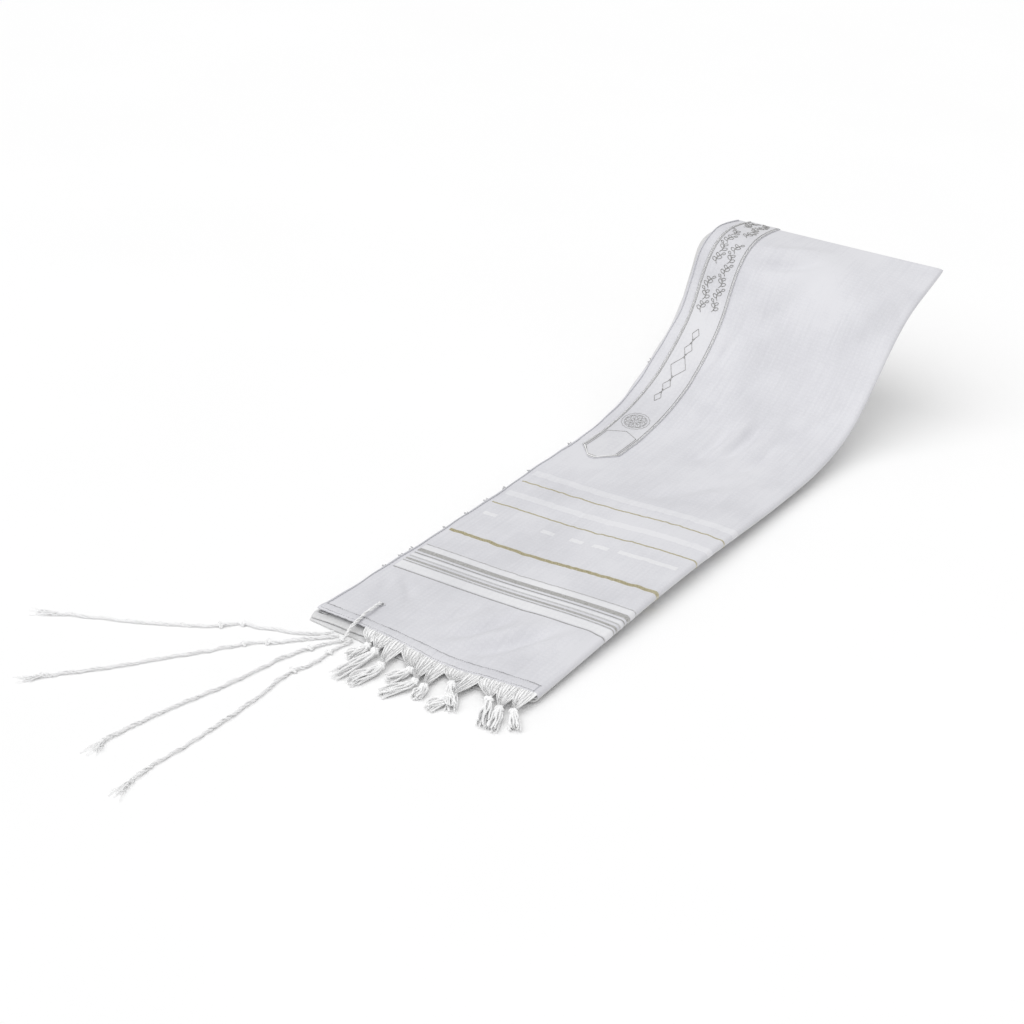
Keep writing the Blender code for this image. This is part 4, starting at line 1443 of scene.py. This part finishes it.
def along_line(line, places, reach=0.002):
    """Points on a line by distance from its start, with its direction there."""
    far = distances(line)

    def spots(at):
        return np.stack([np.interp(at, far, line[:, k]) for k in range(3)], -1)

    way = spots(np.minimum(places + reach, far[-1])) - spots(np.maximum(places - reach, 0))
    return spots(places), unit(way)


# Knots on each tassel: how far along it they sit, and their size.
CORD_KNOTS = {
    "tassel_1": [(0.086, 1.0), (0.107, 1.25)],
    "tassel_2": [(0.066, 1.15), (0.088, 0.9)],
    "tassel_3": [(0.098, 1.2), (0.066, 1.0)],
    "tassel_4": [(0.030, 1.0), (0.075, 1.25)],
}
CORD_STRANDS = 4
CORD_TWIST = 0.019       # the strands turn once round each other in this length
CORD_LOOSE = 0.00098     # and lie about this far from its middle line
END_SPREAD = 0.022       # they open over this length at the free end


def make_cord_strands(name, line, paint, trees):
    """One corner tassel: strands loosely twisted, tighter between its loose stretches."""
    long = line_length(line)
    places = np.linspace(0, long, round(long / 0.0012) + 1)
    spots, way = along_line(line, places)
    aside = unit(np.stack([-way[:, 1], way[:, 0], np.zeros(len(way))], -1))
    up = np.cross(way, aside)
    up[up[:, 2] < 0] *= -1
    seed = float(name[-1])
    lines, thick = [], []
    for strand in range(CORD_STRANDS):
        swing = 0.22 * np.sin(38 * places + seed) + 0.10 * np.sin(97 * places + 2.0 * strand)
        turn = 2 * np.pi * (strand / CORD_STRANDS + places / CORD_TWIST + swing)
        loose = CORD_LOOSE + 0.00052 * np.sin(61 * places + 1.9 * seed + 1.3 * strand)
        loose = loose + 0.00030 * np.sin(143 * places + 2.2 * strand)
        ending = np.exp(-(((places - long) / END_SPREAD) ** 2))
        loose = loose * (1 + 1.3 * ending)
        strand_line = spots + (loose * np.cos(turn))[:, None] * aside
        strand_line += (loose * np.sin(turn))[:, None] * up
        strand_line[:, 2] = np.maximum(strand_line[:, 2], 0.0010)
        lines.append(strand_line)
        uneven = 0.95 + 0.18 * np.sin(118 * places + 1.7 * strand + seed)
        thick.append(uneven * (1 - 0.5 * ending))
    return yarns(name + "_strands", "cord_strand", lines, thick, paint["cord"], trees)


def make_cord_knots(name, line, paint, trees):
    """The knots tied in one corner tassel."""
    lines = []
    across, along, up = trefoil(41)
    for place, size in CORD_KNOTS[name]:
        spot, way = along_line(line, np.array([place]))
        spot, way = spot[0], way[0]
        aside = np.array([-way[1], way[0], 0.0])
        scale = 0.00100 * size
        knot = spot + np.outer(across * scale, aside) + np.outer(0.8 * along * scale, way)
        knot[:, 2] += up * scale
        knot[:, 2] = np.maximum(knot[:, 2], 0.0016)
        lines.append(knot)
    return yarns(name + "_knots", "cord_knot", lines, [1.0] * len(lines), paint["cord"], trees)


FRAYED_YARNS = 8
FRAYED_LENGTH = 0.020    # the fraying starts this far before the cord's end


def make_cord_end(name, line, paint, trees):
    """The frayed end of one corner tassel: its yarns apart, thin and curling."""
    long = line_length(line)
    spot, way = along_line(line, np.array([long - FRAYED_LENGTH]))
    spot, way = spot[0], way[0]
    aside = np.array([-way[1], way[0], 0.0])
    lines, thick = [], []
    seed = float(name[-1])
    for number in range(FRAYED_YARNS):
        t = np.linspace(0, 1, 20)
        reach = 0.021 + 0.007 * math.sin(2.3 * number + seed)
        fan = (number - (FRAYED_YARNS - 1) / 2) * 0.0021
        curl = 0.0016 * np.sin(5.0 * t + 1.7 * number + seed) * t
        line_out = spot + np.outer(t * reach, way)
        line_out += np.outer(fan * t**1.4 + curl, aside)
        line_out[:, 2] = np.maximum(spot[2] * (1 - t) + 0.0009 + 0.0008 * (number % 2), 0.0009)
        lines.append(line_out)
        thick.append(1 - 0.55 * t)
    return yarns(name + "_frayed_end", "cord_end", lines, thick, paint["cord"], trees)


def make_eyelet(paint, trees):
    """The sewn hole in the corner that the third tassel comes out of."""
    t = np.linspace(0, 2 * math.pi, 15)[:-1]
    middle = EYELET["run"] + 0.0016
    run = middle + EYELET_RADIUS * np.cos(t)
    across = EYELET["across"] + EYELET_RADIUS * np.sin(t)
    points, _, square = on_cloth(run, across, 0.0005)
    centre = skin(middle, EYELET["across"], 0.0005)
    out = unit(points - centre)
    rim_sewing = stitches("eyelet_stitches", points, out, square, 1.0, paint["satin"],
                          trees["stitch"], (0.0022, 0.0010, 0.0009))
    angle = np.linspace(0, 2 * math.pi, 25)
    ring = skin(middle + HOLE_RADIUS * np.cos(angle),
                EYELET["across"] + HOLE_RADIUS * np.sin(angle), 0.0004)
    hole = yarns("eyelet_hole", "eyelet", [ring], [1.0], paint["stitch"], trees)
    return [rim_sewing, hole]


def make_corner_tassels(paint, trees):
    """The four corner tassels, each with its strands, knots and frayed end, and its line."""
    made = []
    for name in sorted([*CORD_ROUTES, "tassel_3"]):
        line = cord_route(name)
        strands = make_cord_strands(name, line, paint, trees)
        extras = [make_cord_knots(name, line, paint, trees),
                  make_cord_end(name, line, paint, trees)]
        made.append((name, line, strands, extras))
    return made


# ---------------------------------------------------------------- camera, light, floor
VIEW_HEADING = math.radians(32.35)
VIEW_DOWN = math.radians(27.84)
VIEW_ROLL = math.radians(3.06)
VIEW_DISTANCE = 2.240
VIEW_CENTRE = np.array([0.0341, 0.2756, 0.008])
LENS_PER_WIDTH = 2200 / 1024


def make_camera():
    """The camera looks up the cloth from its open corner, turned a little on its axis."""
    centre = Vector(placed(VIEW_CENTRE))
    away = Vector((
        math.sin(VIEW_HEADING) * math.cos(VIEW_DOWN),
        -math.cos(VIEW_HEADING) * math.cos(VIEW_DOWN),
        math.sin(VIEW_DOWN),
    ))
    data = bpy.data.cameras.new("camera")
    data.sensor_width = 36.0
    data.lens = 36.0 * LENS_PER_WIDTH
    data.clip_end = 50.0
    camera = add_object("camera", data)
    camera.location = centre + away * VIEW_DISTANCE
    facing = (-away).to_track_quat("-Z", "Y").to_matrix().to_4x4()
    camera.rotation_euler = (facing @ Matrix.Rotation(VIEW_ROLL, 4, "Z")).to_euler()
    bpy.context.scene.camera = camera


SKY = 0.56
SUN = {"from": (-0.12, -0.62, 1.25), "strength": 1.68, "spread": 75.0}


def make_light():
    """An even white sky and one wide soft lamp from above the near end."""
    world = bpy.data.worlds.new("studio")
    world.use_nodes = True
    background = world.node_tree.nodes["Background"]
    background.inputs["Color"].default_value = (1.0, 1.0, 1.0, 1.0)
    background.inputs["Strength"].default_value = SKY
    bpy.context.scene.world = world
    data = bpy.data.lights.new("key", "SUN")
    data.energy = SUN["strength"]
    data.angle = math.radians(SUN["spread"])
    lamp = add_object("key", data)
    lamp.rotation_euler = (-Vector(SUN["from"])).to_track_quat("-Z", "Y").to_euler()


def make_floor():
    """The plain white surface the shawl lies on, which is no part of it."""
    material, tree, shader = new_material("floor_white", (0.97, 0.97, 0.97), 0.9)
    place = tree.nodes.new("ShaderNodeTexCoord").outputs["Object"]
    grain = noise(tree, place, Scale=3.0, Detail=2.0)
    coloured(tree, shader, grain, (0.3, 0.7), ((0.965, 0.965, 0.965), (0.975, 0.975, 0.975)))
    mesh = bmesh.new()
    bmesh.ops.create_grid(mesh, x_segments=4, y_segments=4, size=9.0)
    data = bpy.data.meshes.new("floor")
    mesh.to_mesh(data)
    mesh.free()
    data.materials.append(material)
    add_object("floor", data)


def main():
    """Builds the whole scene, puts its pieces on the root body and hides the parts they stand for."""
    bpy.context.scene.view_settings.view_transform = "Standard"
    make_camera()
    make_light()
    make_floor()
    paint = make_materials()
    trees = {"plied": plied_tree(), "stitch": stitch_tree()}
    tassels = make_corner_tassels(paint, trees)
    top_layer = make_top_layer(paint)
    lower = make_lower_layers(paint)
    hem = make_near_hem(paint)
    neckband = make_neckband(paint)
    warp = make_warp(paint, trees)
    sewn = [
        *make_stripes(paint), make_gold_chain(paint, trees), hem,
        *make_hem_stitches(paint, trees), neckband, *make_band_borders(paint, trees),
        *make_band_end(paint, trees), *make_motifs(paint, trees),
        make_selvedge(paint, trees), make_tufts(paint, trees), *make_eyelet(paint, trees),
    ]
    fringe = [warp, *make_webs(paint), make_knots(paint, trees),
              make_fringe_tassels(paint, trees)]
    cords = [piece for _, _, strands, extras in tassels for piece in (strands, *extras)]
    for piece in [top_layer, lower, *sewn, *fringe, *cords]:
        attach(piece, "root")
    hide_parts("top_panel")
    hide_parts("hidden_layers")
    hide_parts("near_hem")
    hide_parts("neckband")
    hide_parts("fringe")
    for name, line, strands, extras in tassels:
        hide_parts(name)


main()
